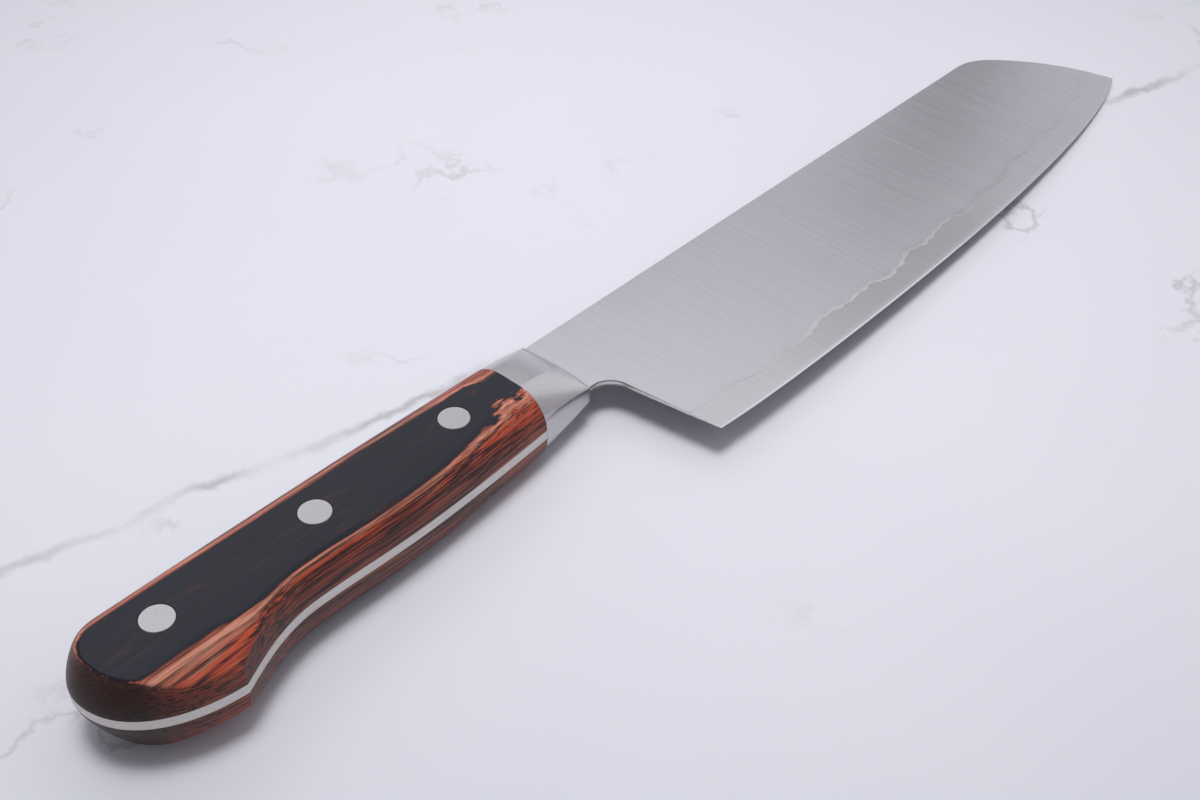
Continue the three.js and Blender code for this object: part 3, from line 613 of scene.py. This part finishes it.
wood = sheets
for there, coat in ((streaked, "#211415"), (pale, "#B98A72"), (growth_line, "#4A2A20"), (darkened_butt_wall, "#1A0A06")):
    wood = add(tree, "Mix", {"Factor": there, "A": wood, "B": colour(coat)}, data_type="RGBA")
gloss = add(tree, "MapRange", [noise["fibre"], *NOISE_RANGE, *SEMI_GLOSS])
pores = add(tree, "Bump", {"Height": noise["fibre"], "Strength": 0.1, "Distance": 0.04 * MM})
finish = {"Base Color": wood, "Roughness": gloss, "Normal": pores, "Specular IOR Level": 0.36}
add(tree, "OutputMaterial", {"Surface": add(tree, "BsdfPrincipled", finish)})
print("veneer with", len(SHEETS), "stops")


# %% [markdown]
# ## Blade
# The blade is three layers of steel forged into one sheet, cut to its outline and ground thin. Near the edge
# the grinding goes through the outer layers, so the hard core comes out as a strip below a wavy line.
# First comes the outline in the flat, as on a template: cutting edge, spine, angled nose, heel and choil.

# %% Blade outline
HEEL_X = 9.4
HEEL_RISE = 1.35
HEEL_CURVE = 14
EDGE_LOWEST_AT = 43
TIP_RISE = 12.7
TIP_ANGLE = math.radians(27)
EDGE_PULL_LOW = 55
EDGE_PULL_TIP = 20
BLADE_SPINE_Y = 11.1
SPINE_FALL = 1.35
NOSE_LENGTH = 17.8
NOSE_BULGE = 3
NOSE_ROUND = 5
HEEL_ANGLE = math.radians(7.9)
CHOIL_RADIUS = 5.2
NECK_UNDER_Y = -6.7
BLADE_START = -0.6  # just inside the bolster
CORE_SHOWN = 6.9
LONG_WAVE = (0.5, 41)
SHORT_WAVE = (0.55, 15.5)

heel = np.array([HEEL_X, edge_lowest_y + HEEL_RISE])
tip = np.array([tip_x, edge_lowest_y + TIP_RISE])
lowest = np.array([HEEL_X + EDGE_LOWEST_AT, edge_lowest_y])
corner_x = tip_x - NOSE_LENGTH
tip_pull = tip - EDGE_PULL_TIP * np.array([math.cos(TIP_ANGLE), math.sin(TIP_ANGLE)])
edge_line = np.vstack(
    [
        curve([heel, (HEEL_X + HEEL_CURVE, edge_lowest_y), lowest], 80),
        curve([lowest, (lowest[0] + EDGE_PULL_LOW, edge_lowest_y), tip_pull, tip], 240)[1:],
    ]
)


def edge_y(x):
    behind = heel[1] - (x - HEEL_X) * HEEL_RISE / HEEL_CURVE
    return np.where(x < HEEL_X, behind, np.interp(x, edge_line[:, 0], edge_line[:, 1]))


def spine_y(x):
    return BLADE_SPINE_Y - SPINE_FALL * x / corner_x


def layer_line(x):
    """Height above the edge of the wavy line where the cladding starts."""
    waves = [height * np.sin(2 * math.pi * x / length) for height, length in (LONG_WAVE, SHORT_WAVE)]
    return CORE_SHOWN + sum(waves)


nose_corner = np.array([corner_x, spine_y(corner_x)])
chord = tip - nose_corner
bulge = np.array([-chord[1], chord[0]]) / np.linalg.norm(chord)
nose_pull = (nose_corner + tip) / 2 + 2 * NOSE_BULGE * bulge
nose = curve([nose_corner, nose_pull, tip], 200)
ease_share = NOSE_ROUND / np.linalg.norm(np.diff(nose, axis=0), axis=1).sum()
nose_leave = curve([nose_corner, nose_pull, tip], 1000)[round(ease_share * 1000)]
ease_start = np.array([corner_x - NOSE_ROUND, spine_y(corner_x - NOSE_ROUND)])
ease = curve([ease_start, nose_corner, nose_leave], 24)
nose_rest = curve([nose_leave, blend(nose_pull, tip, ease_share), tip], 200)

choil_y = NECK_UNDER_Y - CHOIL_RADIUS
heel_run = (choil_y - heel[1] + math.sin(HEEL_ANGLE) * CHOIL_RADIUS) / math.cos(HEEL_ANGLE)
choil_x = HEEL_X - math.sin(HEEL_ANGLE) * heel_run - math.cos(HEEL_ANGLE) * CHOIL_RADIUS
choil_turn = np.linspace(HEEL_ANGLE, math.pi / 2, 25)
choil = CHOIL_RADIUS * round_points(choil_turn) + (choil_x, choil_y)
print(f"edge {tip_x - HEEL_X:.1f} mm long, blade {spine_y(HEEL_X) - edge_lowest_y:.1f} mm tall")

# %% [markdown]
# The flat outline is then covered with a grid. A sheet between four curved sides is filled by letting every
# inner point follow its four sides in proportion. The strip below the layer line is filled on its own, so the
# line is a real border between two pieces.

# %% Blade grid
COLUMNS = 220
LEFT_ROWS = (14, 20, 4, 22)  # up the heel, round the choil, under the neck, and up the bolster's front
BARE_ROWS = 8


def filled(bottom, top, left, right):
    u = np.linspace(0, 1, len(bottom))[None, :, None]
    v = np.linspace(0, 1, len(left))[:, None, None]
    sides = blend(bottom[None], top[None], v) + blend(left[:, None], right[:, None], u)
    return sides - blend(blend(bottom[0], bottom[-1], u), blend(top[0], top[-1], u), v)


start_x = HEEL_X
for _ in range(20):
    start_x = HEEL_X - math.tan(HEEL_ANGLE) * (edge_y(start_x) + layer_line(start_x) - heel[1])
gap = nose_rest[:, 1] - edge_y(nose_rest[:, 0]) - layer_line(nose_rest[:, 0])
end_at = int(np.argmax(gap < 0))
line_x = np.linspace(start_x, nose_rest[end_at, 0], 600)
line = np.column_stack([line_x, edge_y(line_x) + layer_line(line_x)])
line[-1] = nose_rest[end_at]

half_ease = len(ease) // 2
spine_side = np.vstack([[[BLADE_START, spine_y(BLADE_START)]], ease[: half_ease + 1]])
nose_side = np.vstack([ease[half_ease:], nose_rest[1 : end_at + 1]])[::-1]
neck = [choil[-1], (BLADE_START, NECK_UNDER_Y)]
front = [(BLADE_START, NECK_UNDER_Y), (BLADE_START, spine_y(BLADE_START))]
left_lines = [[line[0], choil[0]], choil, neck, front]
left_side = np.vstack([line[:1]] + [spaced(run, rows)[1:] for run, rows in zip(left_lines, LEFT_ROWS)])

bottom_side = spaced(line, COLUMNS)
upper = filled(bottom_side, spaced(spine_side, COLUMNS), left_side, spaced(nose_side, len(left_side) - 1))
edge_side = spaced(edge_line, COLUMNS)
rise = np.linalg.norm(bottom_side - edge_side, axis=1)[:, None]
bevel_side = edge_side + (bottom_side - edge_side) * BEVEL_HEIGHT / rise
bare_shares = np.arange(BARE_ROWS + 1) / BARE_ROWS
lower = np.stack([edge_side] + [blend(bevel_side, bottom_side, share) for share in bare_shares])
print("blade grid", upper.shape, "and strip", lower.shape)


# %% [markdown]
# The grind follows a rule: the steel is thinnest at the edge and swells up to the spine along a convex curve.
# That is a job for Geometry Nodes. A flat blank with an upper and a lower skin carries the height of each
# point above the edge, and the tree lifts both skins to the thickness that the rule gives there.
# The core keeps the thickness that it has at the layer line, and the cladding lies on top of it.

# %% Starting and ending a tree
def new_tree(name, inputs, output):
    """A Geometry Nodes tree with named inputs, and the sockets that give their values inside it."""
    tree = bpy.data.node_groups.new(name, "GeometryNodeTree")
    for label, kind in inputs.items():
        tree.interface.new_socket(label, in_out="INPUT", socket_type="NodeSocket" + kind)
    tree.interface.new_socket(output, in_out="OUTPUT", socket_type="NodeSocketGeometry")
    return tree, tree.nodes.new("NodeGroupInput").outputs


def end_tree(tree, geometry, material):
    real = add(tree, "GeometryNodeRealizeInstances", [geometry])
    painted = add(tree, "GeometryNodeSetMaterial", {"Geometry": real, "Material": material})
    add(tree, "NodeGroupOutput", [painted])
    print(tree.name, "with", len(tree.nodes), "nodes")


# %% Grinding tree
grind_sizes = ["Spine thickness", "Nose thickness", "Edge thickness", "Grind power", "Bevel height"]
grind_sizes += ["Apex thickness", "Layer gap", "Feather", "Middle"]
inputs = {"Blank": "Geometry", **dict.fromkeys(grind_sizes, "Float"), "Is core": "Bool", "Steel": "Material"}
grind, given = new_tree("convex grind", inputs, "Layer")
known = {
    name: add(grind, "GeometryNodeInputNamedAttribute", {"Name": name}, data_type="FLOAT")
    for name in ("height", "full_height", "along", "line", "skin")
}
spine_ends = (given["Spine thickness"], given["Nose thickness"])
spine_thickness = add(grind, "MapRange", [known["along"], 0.0, 1.0, *spine_ends], **SMOOTH)


def half_thickness(height):
    """Nodes for half the thickness of the steel at a height above the edge."""
    part = add(grind, "DIVIDE", [height, known["full_height"]], use_clamp=True)
    left_over = add(grind, "SUBTRACT", [1.0, part])
    hollow = add(grind, "POWER", [left_over, given["Grind power"]])
    full = add(grind, "MapRange", [hollow, 0.0, 1.0, spine_thickness, given["Edge thickness"]])
    return add(grind, "MULTIPLY", [full, 0.5])


above_bevel = add(grind, "MAXIMUM", [known["height"], given["Bevel height"]])
ground = half_thickness(above_bevel)
at_line = half_thickness(known["line"])
core_ground = add(grind, "MINIMUM", [ground, at_line])
half_apex = add(grind, "MULTIPLY", [given["Apex thickness"], 0.5])
core_half = add(grind, "MapRange", [known["height"], 0.0, given["Bevel height"], half_apex, core_ground])
core_other = add(grind, "MULTIPLY", [core_half, -1.0])
inner = add(grind, "ADD", [at_line, given["Layer gap"]])
thinnest = add(grind, "ADD", [inner, given["Feather"]])
outer = add(grind, "MAXIMUM", [ground, thinnest])
is_top = add(grind, "FunctionNodeCompare", [known["skin"], 0.0], data_type="FLOAT", operation="GREATER_THAN")

# A switch takes what decides, what comes out if it is false and what comes out if it is true.
top = add(grind, "GeometryNodeSwitch", [given["Is core"], outer, core_half], input_type="FLOAT")
under = add(grind, "GeometryNodeSwitch", [given["Is core"], inner, core_other], input_type="FLOAT")
lifted = add(grind, "GeometryNodeSwitch", [is_top, under, top], input_type="FLOAT")
z = add(grind, "ADD", [lifted, given["Middle"]])
spot = add(grind, "SeparateXYZ", [add(grind, "GeometryNodeInputPosition")])
moved = add(grind, "CombineXYZ", [spot.outputs["X"], spot.outputs["Y"], z])
shaped = add(grind, "GeometryNodeSetPosition", {"Geometry": given["Blank"], "Position": moved})
end_tree(grind, shaped, given["Steel"])


# %% Running a tree
def grown(name, mesh, tree, **values):
    """Runs a Geometry Nodes tree on a mesh and gives back the result as a plain mesh."""
    holder = bpy.data.objects.new(name, mesh)
    bpy.context.collection.objects.link(holder)
    modifier = holder.modifiers.new(tree.name, "NODES")
    modifier.node_group = tree
    for socket in tree.interface.items_tree:
        key = socket.name.lower().replace(" ", "_")
        if socket.in_out == "INPUT" and key in values:
            modifier[socket.identifier] = values[key]
    depsgraph = bpy.context.evaluated_depsgraph_get()
    result = bpy.data.meshes.new_from_object(holder.evaluated_get(depsgraph))
    holder.modifiers.remove(modifier)
    bpy.data.objects.remove(holder)
    return result


# %% Blanks
def blank(name, grid):
    """A flat closed blank over a grid: an upper skin, a lower skin and a rim between them."""
    rows, columns = grid.shape[:2]
    flat = grid.reshape(-1, 2)
    count = len(flat)
    number = np.arange(count).reshape(rows, columns)
    corners = [number[:-1, :-1], number[:-1, 1:], number[1:, 1:], number[1:, :-1]]
    upper_faces = np.stack(corners, axis=-1).reshape(-1, 4)
    rim = np.concatenate([number[0, :-1], number[:-1, -1], number[-1, :0:-1], number[:0:-1, 0]])
    after = np.roll(rim, -1)
    rim_faces = np.stack([after, rim, rim + count, after + count], axis=-1)
    faces = np.vstack([upper_faces, upper_faces[:, ::-1] + count, rim_faces])
    points = np.column_stack([np.vstack([flat, flat]), np.zeros(2 * count)])
    mesh = mesh_from(name, points, faces.tolist())
    x, y = points[:, 0], points[:, 1]
    height = np.maximum(y - edge_y(x), 0)
    facts = {
        "height": height * MM,
        "full_height": (spine_y(x) - edge_y(x)) * MM,
        "along": np.clip(x / tip_x, 0, 1),
        "line": layer_line(x) * MM,
        "skin": np.repeat([1.0, -1.0], count),
    }
    for fact, values in facts.items():
        mesh.attributes.new(fact, "FLOAT", "POINT").data.foreach_set("value", values.astype(np.float32))
    corner_points = np.zeros(len(mesh.loops), np.int32)
    mesh.loops.foreach_get("vertex_index", corner_points)
    flat_map = mesh.uv_layers.new(name="flat_map")
    flat_map.data.foreach_set("uv", (points[corner_points, :2] / 100).astype(np.float32).ravel())
    return mesh


def mirrored(mesh, name):
    """The same mesh on the other side of the middle of the steel."""
    other = mesh.copy()
    other.name = name
    for vertex in other.vertices:
        vertex.co.z = 2 * zero.z - vertex.co.z
    other.flip_normals()
    return other


def make_pair(name, mesh, material, node, edge_angle):
    """A piece on the left side, and its mirror image on the right."""
    halves = {"left": mesh, "right": mirrored(mesh, f"{name}_right")}
    for side, half in halves.items():
        make_piece(f"{name}_{side}", half, material, [f"{node}_{side}"], edge_angle)
    return halves.values()


# %% Blade layers
GRIND = {
    "spine_thickness": 1.9 * MM,
    "nose_thickness": 1.2 * MM,
    "edge_thickness": 0.2 * MM,
    "grind_power": 1.5,
    "bevel_height": BEVEL_HEIGHT * MM,
    "apex_thickness": 0.03 * MM,
    "layer_gap": 0.004 * MM,
    "feather": 0.015 * MM,
    "middle": zero.z,
}
BLADE_EDGES = 24  # degrees past which two faces meet in an edge

core_blank = blank("core", np.vstack([lower, upper[1:]]))
core = grown("core blank", core_blank, grind, is_core=True, steel=core_steel, **GRIND)
make_piece("ground_core", core, core_steel, ["blade_core"], BLADE_EDGES)
clad_blank = blank("cladding", upper)
clad = grown("cladding blank", clad_blank, grind, is_core=False, steel=cladding_steel, **GRIND)
make_pair("ground_cladding", clad, cladding_steel, "cladding", BLADE_EDGES)

# %% [markdown]
# ## Handle
# Tang and scales share one outline, because they were ground together after gluing. It runs from the bolster
# back along the belly, round the hook and the butt, and forward along the spine.

# %% Handle outline
SEAM_GAP = 0.05
SEAM_BELLY_Y = -9.8
SEAM_RUN = (11, 0.85)
SWELL = (66, -11.5)  # place from the butt, and height
SWELL_EASE = 10
WAIST = (41.8, -10.85)
WAIST_EASE = 8
HOOK_FROM_BUTT = 21.5
HOOK_RUN = (6.1, 2.9)
HOOK_LEAVE = (12, 1.1)
BUTT_CORNER = 10.2
BUTT_FULLNESS = 10
BELLY_SHOULDER = 3.6
SPINE_SHOULDER = 4.6
SEAM_BELLY_SHOULDER = 7
SEAM_SPINE_SHOULDER = 8.6
HOOK_INSET = 1
CORNER_INSET = 3.3
CURVE_STEPS = 48


def late(share):
    return share**3


def handle_outline():
    """Points of the outline, the way inwards there, and how crisp, wide and drawn in the shoulder is."""
    seam = (seam_x - SEAM_GAP, SEAM_BELLY_Y)
    swell = (butt_x + SWELL[0], SWELL[1])
    waist = (butt_x + WAIST[0], WAIST[1])
    hook = (butt_x + HOOK_FROM_BUTT, hook_y)
    corner_low = (butt_x, handle_spine_y - BUTT_CORNER)
    corner_top = (butt_x + BUTT_CORNER, handle_spine_y)
    round_turn = np.linspace(math.pi, math.pi / 2, CURVE_STEPS + 1)
    seam_pull = (seam[0] - SEAM_RUN[0], seam[1] - SEAM_RUN[1])
    hook_pull = (hook[0] + HOOK_RUN[0], hook[1] + HOOK_RUN[1])
    leave_pull = (hook[0] - HOOK_LEAVE[0], hook[1] + HOOK_LEAVE[1])
    belly = [seam, seam_pull, (swell[0] + SWELL_EASE, swell[1]), swell]
    hollow = [swell, (swell[0] - SWELL_EASE, swell[1]), (waist[0] + WAIST_EASE, waist[1]), waist]
    to_hook = [waist, (waist[0] - WAIST_EASE, waist[1]), hook_pull, hook]
    butt = [hook, leave_pull, (butt_x, corner_low[1] - BUTT_FULLNESS), corner_low]
    corner = BUTT_CORNER * round_points(round_turn) + (corner_top[0], corner_low[1])
    spine = curve([corner_top, (seam[0], handle_spine_y)], CURVE_STEPS)
    runs = [*[curve(handles, CURVE_STEPS) for handles in (belly, hollow, to_hook, butt)], corner, spine]
    crisp = [0, 0, 0, 1, 1, 0, 0]  # at the start of each run, and at the end of the last
    shoulder = [SEAM_BELLY_SHOULDER, *[BELLY_SHOULDER] * 4, SPINE_SHOULDER, SEAM_SPINE_SHOULDER]
    inset = [*[HOOK_INSET] * 4, *[CORNER_INSET] * 3]
    stations = np.column_stack([crisp, shoulder, inset])
    points, facts = [np.array([seam])], [stations[:1]]
    share = np.linspace(0, 1, CURVE_STEPS + 1)[1:, None]
    for run, before, after in zip(runs, stations, stations[1:]):
        way = late if run is spine else eased
        points.append(run[1:])
        facts.append(blend(before, after, way(share)))
    points = np.vstack(points)
    along = np.gradient(points, axis=0)
    inward = np.column_stack([along[:, 1], -along[:, 0]])
    inward /= np.linalg.norm(inward, axis=1)[:, None]
    inward[0], inward[-1] = (0, 1), (0, -1)
    return points[::-1], inward[::-1], np.vstack(facts)[::-1]


outline, inward, shoulders = handle_outline()
print("handle outline", len(outline), "points")

# %% [markdown]
# A scale is a stack of rings over that outline. Belly and spine are rounded by a quarter of an ellipse. The
# butt is an upright, slightly barrelled wall that meets the flat in a crisp edge, and below the rivets the
# flat slopes away to the hook. The rings are joined to a skin, and the flat is filled round the rivet holes.

# %% Scale rings
BUTT_LEAN = 1.4
SHOULDER_BREAK = 0.3
FLAT_LOW_Y = -7.9
HOOK_SLOPE = 0.5
HOOK_EASE = 3
SECTION_STEPS = 24
RIVET_GAP = 0.06
HEAD_DEPTH = 2.2
HOLE_STEPS = 64
SCALE_EDGES = 32
CUT_FROM = 0.15  # how far a wall faces along the grain before it counts as cut across
CUT_RANGE = 0.5
WALL_FADE = 3


def flat_z(y):
    past = np.maximum(0, FLAT_LOW_Y - y)
    return half_handle - HOOK_SLOPE * past * past / (past + HOOK_EASE)


def drawn_in(z, inset):
    return inset * ((z - half_tang) / (half_handle - half_tang)) ** BUTT_LEAN


def scale_ring(step):
    crisp, shoulder, inset = shoulders.T[:, :, None]
    turn = step / SECTION_STEPS * math.pi / 2
    rounded = outline + inward * shoulder * (1 - math.cos(turn))
    rounded_z = blend(half_tang, half_handle, math.sin(turn))
    wall_top = np.full(crisp.shape, half_handle)
    for _ in range(5):
        wall_top = flat_z(outline[:, 1:] + inward[:, 1:] * drawn_in(wall_top, inset)) - SHOULDER_BREAK
    wall_steps = SECTION_STEPS / 2
    wall_z = blend(half_tang, wall_top, min(1, step / wall_steps))
    wall = outline + inward * drawn_in(wall_z, inset)
    if step > wall_steps:
        on_top = step / wall_steps - 1
        flat = wall + inward * 2 * SHOULDER_BREAK
        flat[:, 1] = np.maximum(flat[:, 1], FLAT_LOW_Y)
        wall = blend(wall, flat, on_top)
        wall_z = flat_z(wall[:, 1:]) - SHOULDER_BREAK * (1 - on_top) ** 2
    place = blend(rounded, wall, crisp)
    return np.column_stack([place, blend(rounded_z, wall_z, crisp)])


def skin(rings):
    """Faces between rings that lie on each other, all with the same number of points."""
    count = len(rings[0])
    number = np.arange(count)
    after = np.roll(number, -1)
    quads = np.stack([number, after, after + count, number + count], axis=-1)
    return np.vstack([quads + ring * count for ring in range(len(rings) - 1)]).tolist()


# %% Scales
rings = [scale_ring(step) for step in range(SECTION_STEPS + 1)]
scale_points = np.vstack(rings)
scale_faces = skin(rings) + [list(range(len(outline)))[::-1]]
hole_turn = np.linspace(0, 2 * math.pi, HOLE_STEPS, endpoint=False)
hole_ring = (head_diameter / 2 + RIVET_GAP) * round_points(hole_turn)
loops = [rings[-1]]
numbers = [np.arange(len(outline)) + SECTION_STEPS * len(outline)]
for x in rivet_xs:
    for z in (half_handle, half_handle - HEAD_DEPTH - RIVET_GAP):
        loop = np.column_stack([hole_ring + (x, 0), np.full(HOLE_STEPS, z)])
        numbers.append(np.arange(HOLE_STEPS) + len(scale_points))
        scale_points = np.vstack([scale_points, loop])
        loops.append(loop)
    mouth, floor = numbers[-2], numbers[-1]
    scale_faces += np.stack([mouth, np.roll(mouth, -1), np.roll(floor, -1), floor], axis=-1).tolist()
    scale_faces.append(floor.tolist())
cap_loops = [loops[0], *loops[1::2]]
cap_numbers = np.concatenate([numbers[0], *numbers[1::2]])
cap_faces = tessellate_polygon([[Vector(point) for point in loop] for loop in cap_loops])
scale_faces += [cap_numbers[list(face)].tolist() for face in cap_faces]

scale = mesh_from("scale", scale_points, scale_faces)
cut_across = np.clip((np.abs(inward[:, 0]) - CUT_FROM) / CUT_RANGE, 0, 1) * shoulders[:, 0]
on_wall = np.clip((SECTION_STEPS / 2 + WALL_FADE - np.arange(SECTION_STEPS + 1)) / WALL_FADE, 0, 1)
end_grain = np.zeros(len(scale_points))
end_grain[: len(rings) * len(outline)] = (on_wall[:, None] * cut_across).ravel()
scale.attributes.new("end_grain", "FLOAT", "POINT").data.foreach_set("value", end_grain.astype(np.float32))
make_pair("veneer_scale", scale, veneer, "scale", SCALE_EDGES)

# %% [markdown]
# The tang is the same outline cut from steel plate, with a tongue that runs on into the bolster. Only its
# edge shows, as a bright strip between the scales.

# %% Tang
TONGUE_LENGTH = 8.8
TONGUE_TOP_Y = 7.6
TONGUE_LOW_Y = -6

tongue_x = seam_x + TONGUE_LENGTH
tongue_low = [(outline[-1][0], TONGUE_LOW_Y), (tongue_x, TONGUE_LOW_Y)]
tongue_top = [(tongue_x, TONGUE_TOP_Y), (outline[0][0], TONGUE_TOP_Y)]
plan = np.vstack([outline, tongue_low, tongue_top])
tang_rings = [np.column_stack([plan, np.full(len(plan), z)]) for z in (-half_tang, half_tang)]
tang_caps = [list(range(len(plan)))[::-1], list(range(len(plan), 2 * len(plan)))]
tang = mesh_from("tang", np.vstack(tang_rings), skin(tang_rings) + tang_caps)
make_piece("ground_tang", tang, tang_steel, ["tang"], SCALE_EDGES)

# %% [markdown]
# ## Bolster
# The bolster is two cheeks of steel, welded over the neck and ground to three facets on each side: a wall
# along the belly, a side and a top. At the seam they run out into the rounding of the handle.

# %% Bolster section
BOLSTER_FRONT_THICKNESS = 5
BOLSTER_FRONT_TOP = 3.2
BOLSTER_FRONT_SPINE_Y = 11.8
BOLSTER_FRONT_BELLY_Y = -7.8
BOLSTER_FRONT_CORNER = 1.3
BOLSTER_FRONT_FOOT = 0.4
BOLSTER_FULLNESS = 0.35
FRONT_ROUND = 0.8
LIP_SIDE_THICKNESS = 3.2
LIP_TOP_THICKNESS = 2.3
LIP_RISE = 0.9
WALL_SEAM_Z = 4
WALL_FRONT_Z = 1.7
LIP_WALL_Z = 1
CREASE_SEAM_Y = -4.8
CREASE_FRONT_Y = -0.2
CREASE_WIDTH = 0.9
SIDE_FALL = 0.5
SIDE_FULLNESS = 0.4
LIP_FULLNESS = 2.2
BOLSTER_STEPS = 32
FRONT_STEPS = 12
WALL_STEPS = 8
BOLSTER_EDGES = 40


def bolster_ring(x, share, round_share):
    """The left cheek's section, first on the way to the rounded front and then on the way round it."""
    worn = 1 - math.sqrt(1 - round_share**2)
    front_side_z = blend(BOLSTER_FRONT_THICKNESS, LIP_SIDE_THICKNESS, worn) / 2
    front_top_z = blend(BOLSTER_FRONT_TOP, LIP_TOP_THICKNESS, worn) / 2
    front_belly = BOLSTER_FRONT_BELLY_Y + LIP_RISE * worn
    front_wall_z = blend(WALL_FRONT_Z, LIP_WALL_Z, worn)
    lean = blend(SIDE_FULLNESS, LIP_FULLNESS, worn)
    side_foot_z = front_side_z - SIDE_FALL * (1 - worn)
    side_foot = (front_belly + lean, side_foot_z)
    front_side = [(front_belly, front_wall_z), side_foot, (CREASE_FRONT_Y, front_side_z)]

    def rounded(turn):
        y = SEAM_BELLY_Y + SEAM_BELLY_SHOULDER * (1 - np.cos(turn))
        return np.column_stack([y, blend(half_tang, half_handle, np.sin(turn))])

    wall_turn = math.asin((WALL_SEAM_Z - half_tang) / (half_handle - half_tang))
    crease_turn = math.acos(1 - (CREASE_SEAM_Y - SEAM_BELLY_Y) / SEAM_BELLY_SHOULDER)
    up = np.linspace(0, 1, WALL_STEPS + 1)[:-1]
    wall_z = blend(BOLSTER_FRONT_FOOT, front_wall_z, up)
    front_wall = np.column_stack([np.full(WALL_STEPS, front_belly), wall_z])
    wall = blend(rounded(wall_turn * up), front_wall, share)
    side_turn = np.linspace(wall_turn, crease_turn, SECTION_STEPS + 1)
    side = blend(rounded(side_turn), curve(front_side, SECTION_STEPS), share)
    top = blend(half_handle, front_top_z, share)
    flat_y = blend(SEAM_BELLY_Y + SEAM_BELLY_SHOULDER, CREASE_FRONT_Y + CREASE_WIDTH, share)
    flat = (flat_y, blend(half_handle, front_side_z, share))
    spine = blend(handle_spine_y, BOLSTER_FRONT_SPINE_Y, share)
    spine_round = blend(SEAM_SPINE_SHOULDER, BOLSTER_FRONT_CORNER, share)
    foot = blend(half_tang, BOLSTER_FRONT_FOOT, share)
    turn = np.linspace(math.pi / 2, 0, SECTION_STEPS + 1)
    rounding = np.column_stack([spine - spine_round * (1 - np.cos(turn)), blend(foot, top, np.sin(turn))])
    belly = (blend(SEAM_BELLY_Y, front_belly, share), 0)
    section = np.vstack([[belly], wall, side, [flat], rounding, [(spine, 0)]])
    section[:, 1] *= 1 + BOLSTER_FULLNESS * 4 * share * (1 - share) / top
    return np.column_stack([np.full(len(section), x), section])


# %% Bolster cheeks
bolster_rings = []
for share in np.linspace(0, 1, BOLSTER_STEPS + 1):
    bolster_rings.append(bolster_ring(blend(seam_x, -FRONT_ROUND, share), share, 0))
for turn in np.linspace(0, math.pi / 2, FRONT_STEPS + 1)[1:]:
    bolster_rings.append(bolster_ring(-FRONT_ROUND * (1 - math.sin(turn)), 1, math.sin(turn)))
ring_size = len(bolster_rings[0])
last_ring = (len(bolster_rings) - 1) * ring_size
bolster_caps = [list(range(ring_size))[::-1], list(range(last_ring, last_ring + ring_size))]
cheek = mesh_from("cheek", np.vstack(bolster_rings), skin(bolster_rings) + bolster_caps)
creased = set(range(WALL_STEPS + 1, len(bolster_rings) * ring_size, ring_size))
topped = {number + SECTION_STEPS for number in creased}
levelled = {number + 1 for number in topped}
for mesh in make_pair("cheek", cheek, bolster_steel, "bolster", BOLSTER_EDGES):
    for edge in mesh.edges:
        edge.use_edge_sharp |= any(crease.issuperset(edge.vertices) for crease in (creased, topped, levelled))

# %% [markdown]
# ## Rivets
# Each rivet is two halves: a pin driven into a socket through scale and tang, so a head shows on both sides.
# The heads are sanded flush with the wood, which leaves a thin dark ring round each. One half is turned like
# on a lathe, and a tree repeats it down the handle. That is a row of equal things, so Geometry Nodes do it.

# %% Rivet row tree
inputs = {"Rivet": "Geometry", "Count": "Int", "Step": "Vector", "Metal": "Material"}
row, given = new_tree("rivet row", inputs, "Row")
places = {"Count": given["Count"], "Offset": given["Step"]}
stations = add(row, "GeometryNodeMeshLine", places, mode="OFFSET")
copies = add(row, "GeometryNodeInstanceOnPoints", {"Points": stations, "Instance": given["Rivet"]})
end_tree(row, copies, given["Metal"])

# %% Rivets
SHANK_DIAMETER = 4
PIN_DIAMETER = 2.3
PIN_LENGTH = 4.6
PIN_CHAMFER = 0.3
SOCKET_SPARE = 0.6
HEAD_BREAK = 0.12  # the sharp rim of a head is broken by sanding
RIVET_STEPS = 64
RIVET_EDGES = 30


def turned(name, profile):
    """A body turned from pairs of radius and height, from one end of its axis to the other."""
    turn = np.linspace(0, 2 * math.pi, RIVET_STEPS, endpoint=False)
    rounds = [(radius * round_points(turn) + (rivet_xs[0], 0), z) for radius, z in profile]
    circles = [np.column_stack([points, np.full(RIVET_STEPS, z)]) for points, z in rounds]
    return mesh_from(name, np.vstack(circles), skin(circles))


head, shank, pin = head_diameter / 2, SHANK_DIAMETER / 2, PIN_DIAMETER / 2
under_head = half_handle - HEAD_DEPTH
broken_rim = [(head, half_handle - HEAD_BREAK), (head - HEAD_BREAK, half_handle), (0, half_handle)]
head_profile = [(shank, under_head), (head, under_head), *broken_rim]
pin_end = SEAM_GAP - PIN_LENGTH
pin_profile = [(0, pin_end), (pin - PIN_CHAMFER, pin_end), (pin, pin_end + PIN_CHAMFER), (pin, SEAM_GAP)]
pin_profile += [(shank, SEAM_GAP), *head_profile]
bore = pin + RIVET_GAP
bore_end = -pin_end + SOCKET_SPARE
socket_profile = [(0, bore_end), (bore, bore_end), (bore, 0), (shank, 0), *head_profile]
step = ((rivet_xs[1] - rivet_xs[0]) * MM, 0, 0)
in_row = {"count": len(rivet_xs), "step": step, "metal": rivet_steel}
pins = grown("pins", turned("pin", pin_profile), row, **in_row)
sockets = mirrored(grown("sockets", turned("socket", socket_profile), row, **in_row), "sockets")
make_piece("rivet_pins", pins, rivet_steel, rivet_nodes["pin"], RIVET_EDGES)
make_piece("rivet_sockets", sockets, rivet_steel, rivet_nodes["socket"], RIVET_EDGES)
